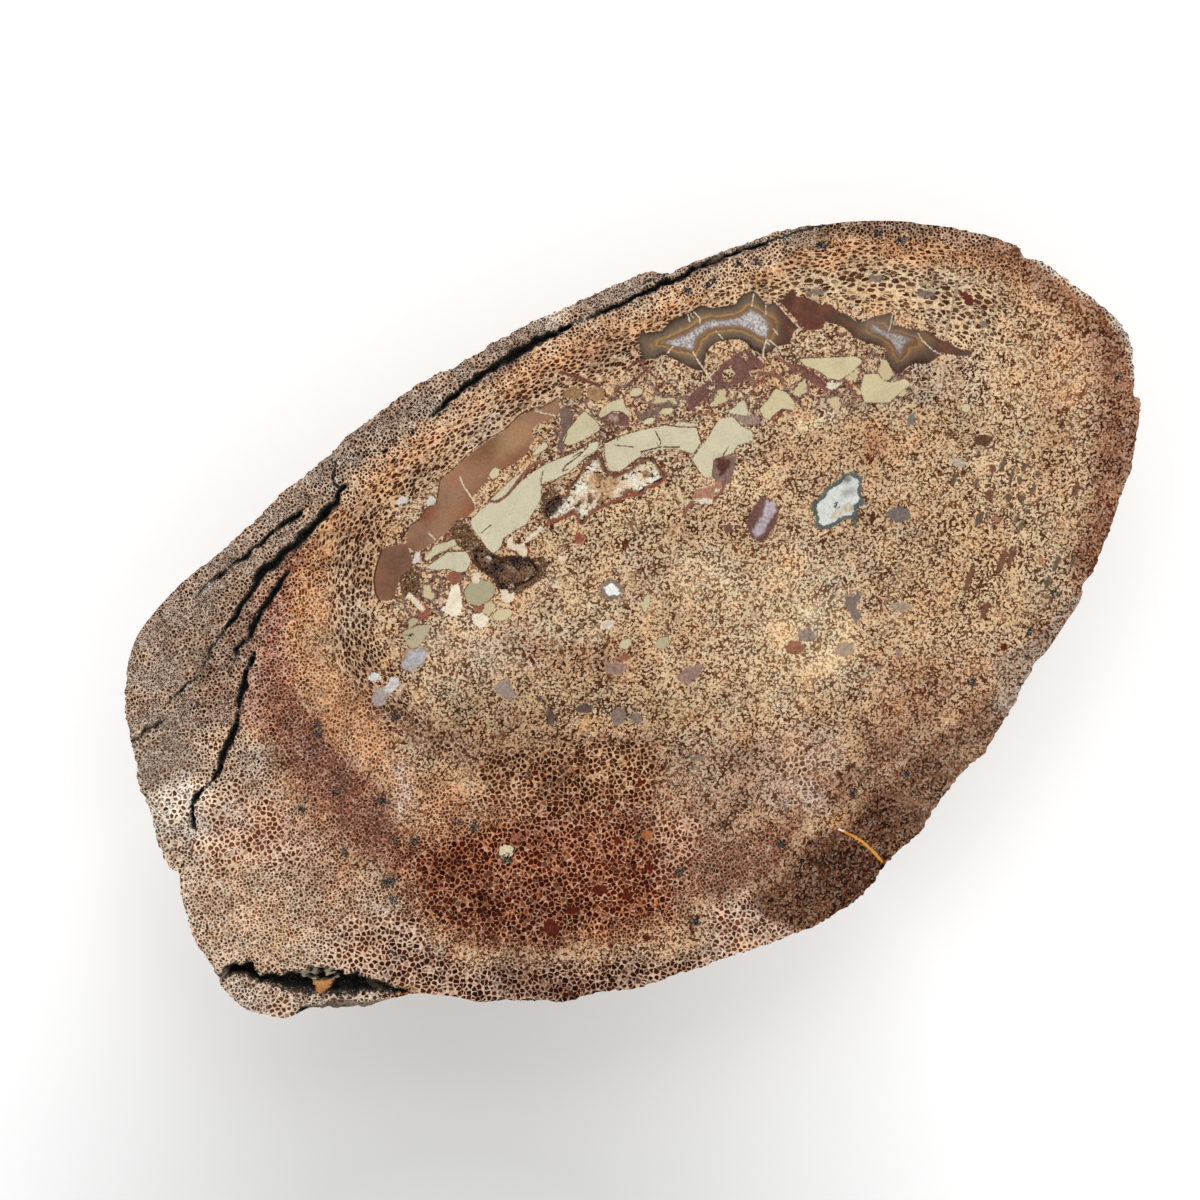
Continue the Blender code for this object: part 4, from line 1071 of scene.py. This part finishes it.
boneLook = {
    "noises": {
        "patches": (150, 6, 0.68), "ragged": (1000, 4, 0.7), "speckle": (2700, 2), "wide": (60, 3, 0.6),
        "cluster": (1500, 3, 0.75), "thread": (330, 4, 0.6, 0.5), "spiky": (650, 4, 0.75, 2.5),
        "torn": (1300, 5, 0.8)},
    # the size number from which a pore's cell is this wide, and how round it is: metres, and for the long
    # pores millimetres across the growth ring
    "cells": ((0, 0.00062, 0.58), (1.1, 0.00090, 0.63), (2.0, 0.00125, 0.68), (2.9, 0.00170, 0.73)),
    "ringCells": ((0, 0.90, 0.56), (2.85, 1.35, 0.56)), "ringStretch": (0.50, 1, 0),
    "grain": 0.00043, "chip": 0.0040,   # metres
    "cream": "#fff4e4", "clearest": (0.90, 1.06, 0.62),
    "rarely": ((1, "#8a817a", 0.91), (2, "#93451f", 0.92)),   # grey and rusty grains
    "rust": {1: (0.48, -0.20, -0.80), 2: (0.64, 1.14, 1.56)},   # from greyish to rusty over the wide noise
    "burnt": {1: (0.285, 0.572, 0.68), 2: (0.69, 0.398, 0.266)},   # the darks lean to red-brown
    "bands": ((0.09, "#33221a"), (0.15, "#4b392e"), (0.24, "#67574a"), (0.34, "#76624e"), (0.40, "#8f7150"),
              (0.445, "#a98a62"), (0.48, "#805a3b"), (0.55, "#8c6d51"), (0.60, "#7b6d66"), (0.68, "#a39a96"),
              (0.88, "#b9b2b0"), (1.0, "#c6c2c2")),
    "crackBump": (0.00036, 0.000014),   # metres
}


def cellFor(tree, size, rows):  # scale and room of the widest cell that a pore's size number reaches
    scale, room = 1 / rows[0][1], rows[0][2]
    for (_, width, wide), (least, nextWidth, nextRoom) in zip(rows, rows[1:]):
        larger = add(tree, "Math", {"operation": "GREATER_THAN", 0: size, 1: least})
        more = {"operation": "MULTIPLY_ADD", 0: larger}
        scale = add(tree, "Math", {**more, 1: 1 / nextWidth - 1 / width, 2: scale})
        room = add(tree, "Math", {**more, 1: nextRoom - wide, 2: room})
    return scale, room


def poreNet(tree, place, noise, patch):
    # how far a place is past the bone's wall into a pore, and the pore's random numbers; the pores are
    # rounded cells, and along the growth ring they stretch with it
    warp, ragged = noise["ragged"][1], noise["ragged"][0]
    wallHalf, size, follow = numbersOf(tree, "pores")
    size = add(tree, "Math", {"operation": "MULTIPLY_ADD", 0: patch[0], 1: 1.4, 2: size})
    scale, room = cellFor(tree, size, boneLook["cells"])
    ringScale, ringRoom = cellFor(tree, size, boneLook["ringCells"])
    ring = add(tree, "Attribute", {"attribute_name": "ringPlace"}).outputs["Vector"]
    along = add(tree, "VectorMath", {"operation": "MULTIPLY_ADD", 0: warp, 1: (1.5, 0.8, 0), 2: ring})
    along = add(tree, "Mapping", {"Vector": along, "Scale": boneLook["ringStretch"]})
    follow = add(tree, "Math", {"operation": "ADD", 0: follow, 1: patch[1]})
    follow = add(tree, "Math", {"operation": "GREATER_THAN", 0: follow, 1: 0.95})
    place = add(tree, "Mix", {"data_type": "VECTOR", 0: follow, 4: place, 5: along}).outputs[1]
    scale = add(tree, "Mix", {0: follow, 2: scale, 3: ringScale})
    room = add(tree, "Mix", {0: follow, 2: room, 3: ringRoom})
    cell = {"voronoi_dimensions": "2D", "Vector": place, "Scale": scale}
    border = add(tree, "TexVoronoi", {**cell, "feature": "DISTANCE_TO_EDGE"})
    centre = add(tree, "TexVoronoi", cell)
    radius = add(tree, "Math", {"operation": "SUBTRACT", 0: room, 1: centre})
    border = add(tree, "Math", {"operation": "SMOOTH_MIN", 0: border, 1: radius, 2: 0.08})
    pore = numbersOf(tree, centre.outputs[1])
    gap = add(tree, "Math", {"operation": "SUBTRACT", 0: border, 1: wallHalf})
    grit = add(tree, "Math", {"operation": "MULTIPLY_ADD", 0: ragged, 1: 0.34, 2: -0.17})
    gap = add(tree, "Math", {"operation": "ADD", 0: gap, 1: grit})
    narrow = add(tree, "MapRange", {0: pore[2], 3: 0.06, 4: -0.12})   # some pores have nearly closed
    return add(tree, "Math", {"operation": "ADD", 0: gap, 1: narrow}), pore


def crumbledBone(tree, noise, patch, grain):
    # loose pale grains in a dark ground; also the share of light and of the clearest grains
    speckle, cluster = noise["speckle"][0], noise["cluster"][0]
    thick = add(tree, "Math", {"operation": "MULTIPLY_ADD", 0: patch[0], 1: 0.7, 2: -0.35})
    ground = add(tree, "Math", {"operation": "MULTIPLY", 0: cluster, 1: 0.65})
    ground = add(tree, "Math", {"operation": "MULTIPLY_ADD", 0: grain[0], 1: 0.85, 2: ground})
    uneven = add(tree, "Math", {"operation": "ADD", 0: ground, 1: thick})
    light = add(tree, "MapRange", {"interpolation_type": "SMOOTHSTEP", 0: uneven, 1: 0.56, 2: 0.74})
    grains = tinted(tree, shaded(tree, "poreTint", speckle, 0.28, 0.86),
                    shaded(tree, "wallTint", speckle, 0.88, 1.26), light)
    low, high, most = boneLook["clearest"]
    sparkle = add(tree, "MapRange", {0: uneven, 1: low, 2: high, 3: 0.0, 4: most})
    bright = tinted(tree, "wallTint", boneLook["cream"], 0.38)
    grains = tinted(tree, grains, bright, sparkle)
    for channel, tint, least in boneLook["rarely"]:
        grains = flecked(tree, grains, tint, grain[channel], least, least + 0.03, 0.7)
    calm = tinted(tree, "poreTint", "wallTint", 0.68)
    return flecked(tree, grains, calm, patch[1], 0.50, 0.62, 0.40), light, (bright, sparkle)


def wallsAndPores(tree, gap, pore, grains, clearest):  # the net of sound bone with its filled pores
    inside = shaded(tree, "poreTint", pore[0], 0.35, 1.25)
    inside = flecked(tree, inside, "#7d746c", pore[1], 0.85, 0.97, 0.5)
    inside = flecked(tree, inside, "wallTint", pore[2], 0.90, 0.99, 0.6)
    inside = scaled(tree, inside, add(tree, "MapRange", {0: gap, 1: 0.02, 2: 0.16, 3: 0.70, 4: 1.15}))
    core = add(tree, "MapRange", {0: gap, 1: -0.16, 2: 0.0, 3: 1.25, 4: 0.95})
    wall = tinted(tree, tinted(tree, scaled(tree, "wallTint", core), grains, 0.4), *clearest)
    filled = add(tree, "MapRange", {"interpolation_type": "SMOOTHSTEP", 0: gap, 1: -0.035, 2: 0.035})
    return tinted(tree, wall, inside, filled)


def stained(tree, bone, noise):  # iron stains in wide clouds, and darks burnt to red-brown
    bone = shaded(tree, bone, noise["speckle"][0], 0.50, 1.42)
    wide = numbersOf(tree, pushed(tree, noise["patches"][1], noise["wide"], 0.5))
    rust = add(tree, "VectorMath", {"operation": "MULTIPLY_ADD", 0: wide[0], **boneLook["rust"]})
    bone = add(tree, "VectorMath", {"operation": "MULTIPLY", 0: bone, 1: rust})
    bone = shaded(tree, bone, wide[1], 0.03, 1.30)
    dim = add(tree, "MapRange", {0: numbersOf(tree, bone)[0], 1: 0.03, 2: 0.65})
    burnt = add(tree, "VectorMath", {"operation": "MULTIPLY_ADD", 0: dim, **boneLook["burnt"]})
    return add(tree, "VectorMath", {"operation": "MULTIPLY", 0: bone, 1: burnt})


def shatteredBone(tree, place, bone, noise, light, nearBreak):  # shards of bone and mudstone in brown matrix
    shards = pushed(tree, pushed(tree, place, noise["ragged"], 0.0026), noise["patches"], 0.006)
    shard = {"voronoi_dimensions": "2D", "Scale": 1 / boneLook["chip"], "Vector": shards}
    border = add(tree, "TexVoronoi", {**shard, "feature": "DISTANCE_TO_EDGE"})
    kind = numbersOf(tree, add(tree, "TexVoronoi", shard).outputs[1])
    broken = add(tree, "Math", {"operation": "MULTIPLY_ADD", 0: noise["patches"][0], 1: 2.0, 2: nearBreak})
    seam = add(tree, "Math", {"operation": "MULTIPLY_ADD", 0: noise["cluster"][0], 1: 0.30, 2: border})
    matrix = flecked(tree, tinted(tree, "#5a3e35", "#866a5e", light), "#9a5030", kind[2], 0.80, 0.88, 0.6)
    mud = shaded(tree, "#cdba92", noise["speckle"][0], 0.8, 1.2)
    muddy = add(tree, "Math", {"operation": "GREATER_THAN", 0: kind[0], 1: 0.88})
    shattered = flecked(tree, tinted(tree, bone, mud, muddy), matrix, seam, 0.27, 0.23)
    return flecked(tree, bone, shattered, broken, 1.72, 1.80)


def bandedAgate(tree, noise, sand, bands):  # bands from rim to core with a frosty heart, or cloudy brown
    cloud, ragged = noise["patches"][0], noise["ragged"][0]
    wavy = add(tree, "Math", {"operation": "MULTIPLY_ADD", 0: cloud, 1: 0.80, 2: -0.26})
    wavy = add(tree, "Math", {"operation": "ADD", 0: wavy, 1: bands[0]})
    wavy = add(tree, "Math", {"operation": "MULTIPLY_ADD", 0: ragged, 1: 0.20, 2: wavy})
    ramp = add(tree, "ValToRGB", {0: add(tree, "Math", {"operation": "MULTIPLY", 0: wavy, 1: 0.5})})
    for at, tint in boneLook["bands"][1:-1]:
        ramp.color_ramp.elements.new(at)
    for element, (at, tint) in zip(ramp.color_ramp.elements, boneLook["bands"]):
        element.position = at
        element.color = colour(tint)
    frost = flecked(tree, "#776b65", "#dcd7d4", sand, 0.52, 0.92)
    ramp = flecked(tree, ramp, frost, wavy, 1.12, 1.40, 0.6)   # the heart is a mass of fine grains
    plain = shaded(tree, "agateTint", cloud, 0.30, 1.66)
    plain = flecked(tree, plain, "#9c563a", numbersOf(tree, noise["patches"][1])[0], 0.52, 0.68, 0.5)
    agate = shaded(tree, tinted(tree, plain, ramp, bands[1]), noise["cluster"][0], 0.60, 1.40)
    return shaded(tree, agate, noise["speckle"][0], 0.8, 1.2)


def filledPore(tree, noise, sand, depth):  # one large pore's chalcedony, greyer away from its edge
    heart = add(tree, "Math", {"operation": "MULTIPLY_ADD", 0: noise["patches"][0], 1: 1.6, 2: depth})
    lens = flecked(tree, "lensTint", "#9c8d86", heart, 1.4, 2.8, 0.08)
    return shaded(tree, shaded(tree, lens, noise["patches"][0], 0.5, 1.5), sand, 0.35, 1.45)


def mudstone(tree, noise, depth, thread):  # pale silty stone with a brown rind, flecks and hair cracks
    mud = shaded(tree, "mudTint", noise["patches"][0], 0.80, 1.24)
    mud = shaded(tree, mud, noise["speckle"][0], 0.80, 1.22)
    mud = tinted(tree, mud, "#6b5238", add(tree, "Math", {"operation": "MULTIPLY", 0: thread, 1: 0.4}))
    mud = flecked(tree, mud, "#5c4630", noise["cluster"][0], 0.71, 0.78, 0.6)
    outside = add(tree, "Math", {"operation": "SUBTRACT", 0: 0.08, 1: depth})
    return tinted(tree, mud, "#65482f", edged(tree, outside, noise["cluster"][0], 0.5))


def polishedBone(tree):
    # Silicified bone, sawn and polished to a wet gloss. The walls of the bone's cells are pale and finely
    # granular and their pores are filled with brown and grey chalcedony, so the eye sees a net of cells. In
    # the middle the net has crumbled to grains in a sandy ground, with thin dark cracks through it.
    place = add(tree, "TexCoord", {}).outputs["Object"]
    noise = noisesOf(tree, place, boneLook["noises"])
    cluster, cloud = noise["cluster"][0], noise["patches"][0]
    speckle, ragged = noise["speckle"][0], noise["ragged"][0]
    patch = numbersOf(tree, noise["patches"][1])
    bent = pushed(tree, place, noise["ragged"], 0.0007)
    grain = {"voronoi_dimensions": "2D", "Scale": 1 / boneLook["grain"], "Vector": bent}
    grain = numbersOf(tree, add(tree, "TexVoronoi", grain).outputs[1])
    sand = add(tree, "Math", {"operation": "MULTIPLY_ADD", 0: grain[0], 1: 0.55, 2: cluster})
    gap, pore = poreNet(tree, bent, noise, patch)
    grains, light, clearest = crumbledBone(tree, noise, patch, grain)
    bone = wallsAndPores(tree, gap, pore, grains, clearest)
    crumbled = add(tree, "Math", {"operation": "ADD", 0: numbersOf(tree, "ringPlace")[2], 1: patch[2]})
    crumbled = add(tree, "MapRange", {0: crumbled, 1: 0.92, 2: 1.0})
    bone = stained(tree, tinted(tree, bone, grains, crumbled), noise)
    thread = add(tree, "Math", {"operation": "COMPARE", 0: noise["thread"][0], 1: 0.5, 2: 0.008})
    rare = add(tree, "MapRange", {0: patch[1], 1: 0.48, 2: 0.52, 3: 0.0, 4: 0.7})
    thread = add(tree, "Math", {"operation": "MULTIPLY", 0: thread, 1: rare})
    sooty = add(tree, "Math", {"operation": "MULTIPLY", 0: thread, 1: crumbled})
    bone = tinted(tree, bone, "#4a2e20", sooty)

    bands, stones, spots = (numbersOf(tree, name) for name in ("bands", "stones", "spots"))
    bone = shatteredBone(tree, place, bone, noise, light, bands[2])
    bone = tinted(tree, bone, filledPore(tree, noise, sand, stones[0]), edged(tree, stones[0], cluster, 1.2))
    druse = flecked(tree, "#24170f", "#7d5a3e", noise["spiky"][0], 0.40, 0.55)
    druse = flecked(tree, druse, "#cbbfae", noise["spiky"][0], 0.58, 0.66)
    bone = tinted(tree, bone, druse, edged(tree, numbersOf(tree, "crackLine")[2], cluster, 1.2))
    bone = tinted(tree, bone, bandedAgate(tree, noise, sand, bands), edged(tree, stones[1], ragged, 0.45))
    bone = tinted(tree, bone, mudstone(tree, noise, stones[2], thread), edged(tree, stones[2], cluster, 1.2))
    vein = shaded(tree, "veinTint", sand, 0.6, 1.4)
    bone = tinted(tree, bone, vein, edged(tree, within(tree, "veinLine"), cluster, 0.45))
    cracked = edged(tree, within(tree, "crackLine"), noise["torn"][0], 2.0)
    # painted shade: the crevice's deep floor is painted near-black like the cracks' dark fill; its chip and
    # crumbs are painted over it later
    crackFillAndCreviceShade = edged(tree, spots[2], noise["torn"][0], 3.2)
    crackFillAndCreviceShade = add(tree, "Math", {"operation": "MAXIMUM", 0: cracked, 1: crackFillAndCreviceShade})
    bone = tinted(tree, bone, flecked(tree, "#0b0a09", "#625c4e", speckle, 0.53, 0.66), crackFillAndCreviceShade)
    white = shaded(tree, shaded(tree, "whiteTint", cloud, 0.75, 1.2), sand, 0.70, 1.20)
    bone = tinted(tree, bone, white, edged(tree, spots[0], ragged, 0.9))
    iron = flecked(tree, "#231f1e", "#6d6864", speckle, 0.50, 0.62)
    bone = tinted(tree, bone, iron, edged(tree, spots[1], cluster, 3.0))

    matt = add(tree, "MapRange", {0: crackFillAndCreviceShade, 3: 0.11, 4: 0.92})
    matt = add(tree, "Math", {"operation": "MULTIPLY_ADD", 0: ragged, 1: 0.06, 2: matt})
    more, least = boneLook["crackBump"]
    rise = add(tree, "Math", {"operation": "MULTIPLY_ADD", 0: crackFillAndCreviceShade, 1: more, 2: least})
    bump = add(tree, "Bump", {"Strength": 0.3, "Distance": rise, "Height": ragged})
    return {"Base Color": bone, "Roughness": matt, "Normal": bump, "IOR": 1.54}   # the IOR of quartz


def weatheredRim(tree):
    # The bone's own outer surface as it was dug up: dull, stained ochre to umber, pitted where pores break
    # open and smoother where it wore. Nothing on it is polished, so it scatters light evenly.
    place = add(tree, "TexCoord", {}).outputs["Object"]
    noise = noisesOf(tree, place, {"warp": (300, 3), "cloud": (60, 6)})
    warp, cloud = noise["warp"], noise["cloud"][0]
    bent = pushed(tree, place, warp, 0.0022)
    cells = add(tree, "TexVoronoi", {"feature": "DISTANCE_TO_EDGE", "Scale": 1 / 0.0015, "Vector": bent})
    pits = add(tree, "MapRange", {"interpolation_type": "SMOOTHSTEP", 0: cells, 1: 0.14, 2: 0.30})
    stain = add(tree, "MapRange", {"interpolation_type": "SMOOTHSTEP", 0: cloud, 1: 0.40, 2: 0.62})
    crust = tinted(tree, "#a88a66", "#6f5238", stain)
    crust = tinted(tree, crust, "wallTint", add(tree, "MapRange", {0: cloud, 3: 0.25, 4: 0.65}))
    worn = add(tree, "MapRange", {0: cloud, 1: 0.42, 2: 0.58, 3: 0.95, 4: 0.35})
    bone = tinted(tree, crust, "#4a3324", add(tree, "Math", {"operation": "MULTIPLY", 0: pits, 1: worn}))
    bone = shaded(tree, bone, warp[0], 0.70, 1.25)
    lip = numbersOf(tree, "veinLine")[2]
    lip = add(tree, "Math", {"operation": "MULTIPLY_ADD", 0: warp[0], 1: 1.6, 2: lip})
    lip = add(tree, "MapRange", {"interpolation_type": "SMOOTHSTEP", 0: lip, 1: 1.05, 2: 1.90})
    bone = shaded(tree, bone, lip, 1.0, 0.42)   # painted shade: darker below the lip, where the notch under it shades the rim
    height = add(tree, "Math", {"operation": "MULTIPLY_ADD", 0: pits, 1: -0.6, 2: warp[0]})
    bump = add(tree, "Bump", {"Strength": 0.8, "Distance": 0.0005, "Height": height})
    return {"Base Color": bone, "Roughness": 0.9, "Normal": bump}


def sawnUnderside(tree):
    # The other saw cut, left unpolished: the same net of cells under a dull bloom, with faint blade marks.
    place = add(tree, "TexCoord", {}).outputs["Object"]
    noise = noisesOf(tree, place, {"warp": (300, 3), "cloud": (35, 5)})
    warp = noise["warp"]
    bent = pushed(tree, place, warp, 0.0010)
    cells = add(tree, "TexVoronoi", {"voronoi_dimensions": "2D", "feature": "DISTANCE_TO_EDGE",
                                     "Scale": 1 / 0.0013, "Vector": bent})
    pore = add(tree, "MapRange", {"interpolation_type": "SMOOTHSTEP", 0: cells, 1: 0.10, 2: 0.22})
    wall = flecked(tree, "#cdb491", "#a8805c", noise["cloud"][0], 0.4, 0.6)
    bone = tinted(tree, wall, shaded(tree, "poreTint", warp[0], 0.9, 1.6), pore)
    blade = add(tree, "TexWave", {"Scale": 90, "Distortion": 1.0, "Vector": place})
    bump = add(tree, "Bump", {"Strength": 0.25, "Distance": 0.0001, "Height": blade.outputs[1]})
    return {"Base Color": bone, "Roughness": 0.75, "Normal": bump}


stone.materials.append(newMaterial("polished_petrified_bone", polishedBone))
stone.materials.append(newMaterial("weathered_bone_rim", weatheredRim))
stone.materials.append(newMaterial("sawn_bone_underside", sawnUnderside))
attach(stonePiece, "root")
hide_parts("bone_slab")
print("materials made")


# Crystals that line the two hollows
quartzCrust = {
    "hollow": "quartzHollow", "node": "quartz_crust", "slot": "quartz_crystals", "roughness": 0.4,
    "count": 1100, "radius": (0.00032, 0.00070), "lean": 0.30, "seed": 51, "tint": "#e9d5b8",
    "patches": (   # radius in pixels, tint, centres
        (7, "#f6ead8", "590,465 579,487 565,503 562,512 582,515 632,478 640,487 655,478 604,500"),
        (8, "#d0ab7e", "596,480 604,488 611,480 606,498"), (4, "#97704a", "600,476 590,496 601,502 646,474"),
        # the dark brown patch at the hollow's left end is painted shade, where the real hollow goes deeper
        (8, "#473022", "548,497 551,508 556,500"), (3, "#5a3d28", "580,502 577,506 590,501"),
        (4, "#8a5a40", "628,493 565,492"))}
darkCrust = {
    "hollow": "darkHollow", "node": "dark_crust", "slot": "dark_crystals", "roughness": 0.45,
    "count": 700, "radius": (0.00022, 0.00055), "lean": 0.8, "seed": 52, "tint": "#5f402c",
    "patches": (
        (7, "#8a6c50", "485,556 512,566 532,570"), (6, "#7a5638", "478,564 505,580 520,575"),
        (3, "#cfc2b0", "497,554 489,558 528,582 512,588"), (5, "#2e1b14", "495,568 500,588 515,562"))}
prism = ((0.9, -0.3), (1, 0.8))   # a crystal's foot and shoulder: their width and height over its radius
tip = (0.1, 0, 1.5)
footing = (0.50, 0.38)   # share of the crust's height at which crystals stand, and how much more by a wall


def crystals(crust):  # six-sided prisms under a point, standing on the hollow's floor and walls
    rng = np.random.default_rng(crust["seed"])
    outline = path(openings[crust["hollow"]])
    low, high = (np.array(corner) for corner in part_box(crust["node"]))
    at = rng.uniform(outline.min(0), outline.max(0), (crust["count"] * 5, 2))
    at = at[insideBy(at, outline) > 0.3][:crust["count"]]
    inside, step = insideBy(at, outline), 0.5
    slope = np.column_stack([insideBy(at + (step, 0), outline), insideBy(at + (0, step), outline)])
    slope = turned(slope - inside[:, None]) / step   # towards the middle of the hollow
    wall = np.clip(1 - inside / 9, 0, 1)
    radius = rng.uniform(*crust["radius"], len(at)) * (1 - 0.4 * wall)
    floor, climb = footing
    foot = low[2] + (floor + climb * wall) * (high[2] - low[2]) + rng.uniform(0, 0.5, len(at)) * radius
    lean = slope * wall[:, None] * 0.9 + rng.normal(0, crust["lean"], (len(at), 2))
    axis = np.column_stack([lean, np.ones(len(at))])
    axis /= np.linalg.norm(axis, axis=1)[:, None]
    spin = rng.uniform(0, 2 * np.pi, len(at))
    side = np.cross(axis, np.column_stack([np.cos(spin), np.sin(spin), np.zeros(len(at))]))
    side /= np.linalg.norm(side, axis=1)[:, None]
    other = np.cross(axis, side)
    i = np.arange(6)
    ring = np.column_stack([np.cos(i * np.pi / 3), np.sin(i * np.pi / 3)])
    template = [np.column_stack([ring * wide, np.full(6, tall)]) for wide, tall in prism]
    template = np.vstack(template + [np.array([tip])])
    each = len(template)
    shape = (template[None, :, 0:1] * side[:, None] + template[None, :, 1:2] * other[:, None]
             + template[None, :, 2:] * axis[:, None]) * radius[:, None, None]
    shape += np.column_stack([placed(at), foot])[:, None]
    first = each * np.arange(len(at))[:, None, None]
    walls = first + np.column_stack([i, (i + 1) % 6, 6 + (i + 1) % 6, 6 + i])
    points = first + np.column_stack([6 + i, 6 + (i + 1) % 6, np.full(6, each - 1)])
    feet = first[:, 0] + i[::-1]
    tint = np.tile(linear(crust["tint"]), (len(at), 1))
    for reach, patchTint, text in crust["patches"]:
        near = np.min([np.hypot(*(at - centre).T) for centre in path(text)], 0)
        tint += (linear(patchTint) - tint) * smoothStep(reach + 2, reach - 2, near)[:, None]
    tint = np.minimum(tint * rng.uniform(0.85, 1.25, (len(at), 1)), 0.95)
    mesh = meshOf(crust["node"] + "_crystals", np.clip(shape.reshape(-1, 3), low, high),
                  [walls.reshape(-1, 4), points.reshape(-1, 3), feet])
    addAttribute(mesh, "crystalTint", opaque(np.repeat(tint, each, 0)))
    return mesh


def drusyQuartz(tree, roughness):
    # Drusy quartz: clear to milky crystals whose faces grew flat and glassy in the open hollow.
    place = add(tree, "TexCoord", {}).outputs["Object"]
    cloud = noisesOf(tree, place, {"cloud": (1400, 3)})["cloud"][0]
    tint = shaded(tree, "crystalTint", cloud, 0.75, 1.25)
    return {"Base Color": tint, "Roughness": roughness, "IOR": 1.54}


for crust in (quartzCrust, darkCrust):
    mesh = crystals(crust)
    mesh.materials.append(newMaterial(crust["slot"], drusyQuartz, crust["roughness"]))
    piece = shown(mesh.name, mesh)
    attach(piece, "root")
    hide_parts(crust["node"])
print("crystals grown")


# Table, light and camera
studio = {
    "table": "#e1e1e1", "dusk": (450, 1400),   # the pixel around which the table is dimmest
    "glow": {1: 0.056, 2: 0.165, 3: 0.0, 4: 0.36},   # metres from there, and the painted light that the table gives off at them: its glow is least around the dimmest pixel, a painted shade below the stone
    "sky": 1.06, "zenith": 0.06, "zenithFrom": (0.86, 0.96),
    "softBox": 4.0, "boxSize": (1.4, 0.8), "boxPlace": (1.0, 0.95), "boxTilt": math.radians(46),
    "turn": math.radians(9),   # the soft box stands past the top of the picture, a little to the right
    "lensHeight": 0.712, "lens": 85, "sensor": 36, "centre": (600, 600),
}


# painted light: the table glows by its own emission, less towards the dimmest pixel, so a painted shade lies
# below the stone
def glowingPaleTable(tree):
    place = add(tree, "TexCoord", {}).outputs["Object"]
    dusk = (*spot(studio["dusk"]), 0)
    far = add(tree, "VectorMath", {"operation": "DISTANCE", 0: place, 1: dusk}).outputs[1]
    glow = add(tree, "MapRange", {0: far, **studio["glow"]})
    return {"Base Color": colour(studio["table"]), "Roughness": 0.95, "Specular IOR Level": 0.1,
            "Emission Color": (1, 1, 1, 1), "Emission Strength": glow}


def table():
    mesh = bpy.data.meshes.new("table")
    mesh.from_pydata([(-3, -3, 0), (3, -3, 0), (3, 3, 0), (-3, 3, 0)], [], [(0, 1, 2, 3)])
    mesh.materials.append(newMaterial("glowing_pale_table", glowingPaleTable))
    shown("table", mesh)


def light():
    world = bpy.data.worlds.new("studio")
    world.use_nodes = True
    tree = world.node_tree
    tree.nodes.clear()
    up = numbersOf(tree, add(tree, "TexCoord", {}).outputs["Generated"])[2]
    low, high = studio["zenithFrom"]
    strength = add(tree, "MapRange", {"interpolation_type": "SMOOTHSTEP", 0: up, 1: low, 2: high,
                                      3: studio["sky"], 4: studio["zenith"]})
    background = add(tree, "Background", {"Color": (1, 1, 1, 1), "Strength": strength})
    add(tree, "OutputWorld", {"Surface": background})
    bpy.context.scene.world = world
    lamp = bpy.data.lights.new("soft_box", "AREA")
    lamp.shape, lamp.energy = "RECTANGLE", studio["softBox"]
    lamp.size, lamp.size_y = studio["boxSize"]
    box = shown("soft_box", lamp)
    t = view["tilt"] + studio["turn"]
    away, height = studio["boxPlace"]
    box.location = (away * math.sin(t), away * math.cos(t), height)
    box.rotation_euler = (studio["boxTilt"], 0, math.pi - t)


def camera():
    made = bpy.data.cameras.new("camera")
    made.lens, made.sensor_width = studio["lens"], studio["sensor"]
    eye = shown("camera", made)
    eye.location = (*spot(studio["centre"]), top + studio["lensHeight"])
    eye.rotation_euler = (0, 0, -view["tilt"])
    bpy.context.scene.camera = eye


table()
light()
camera()
bpy.context.scene.view_settings.view_transform = "Standard"
bpy.context.view_layer.update()
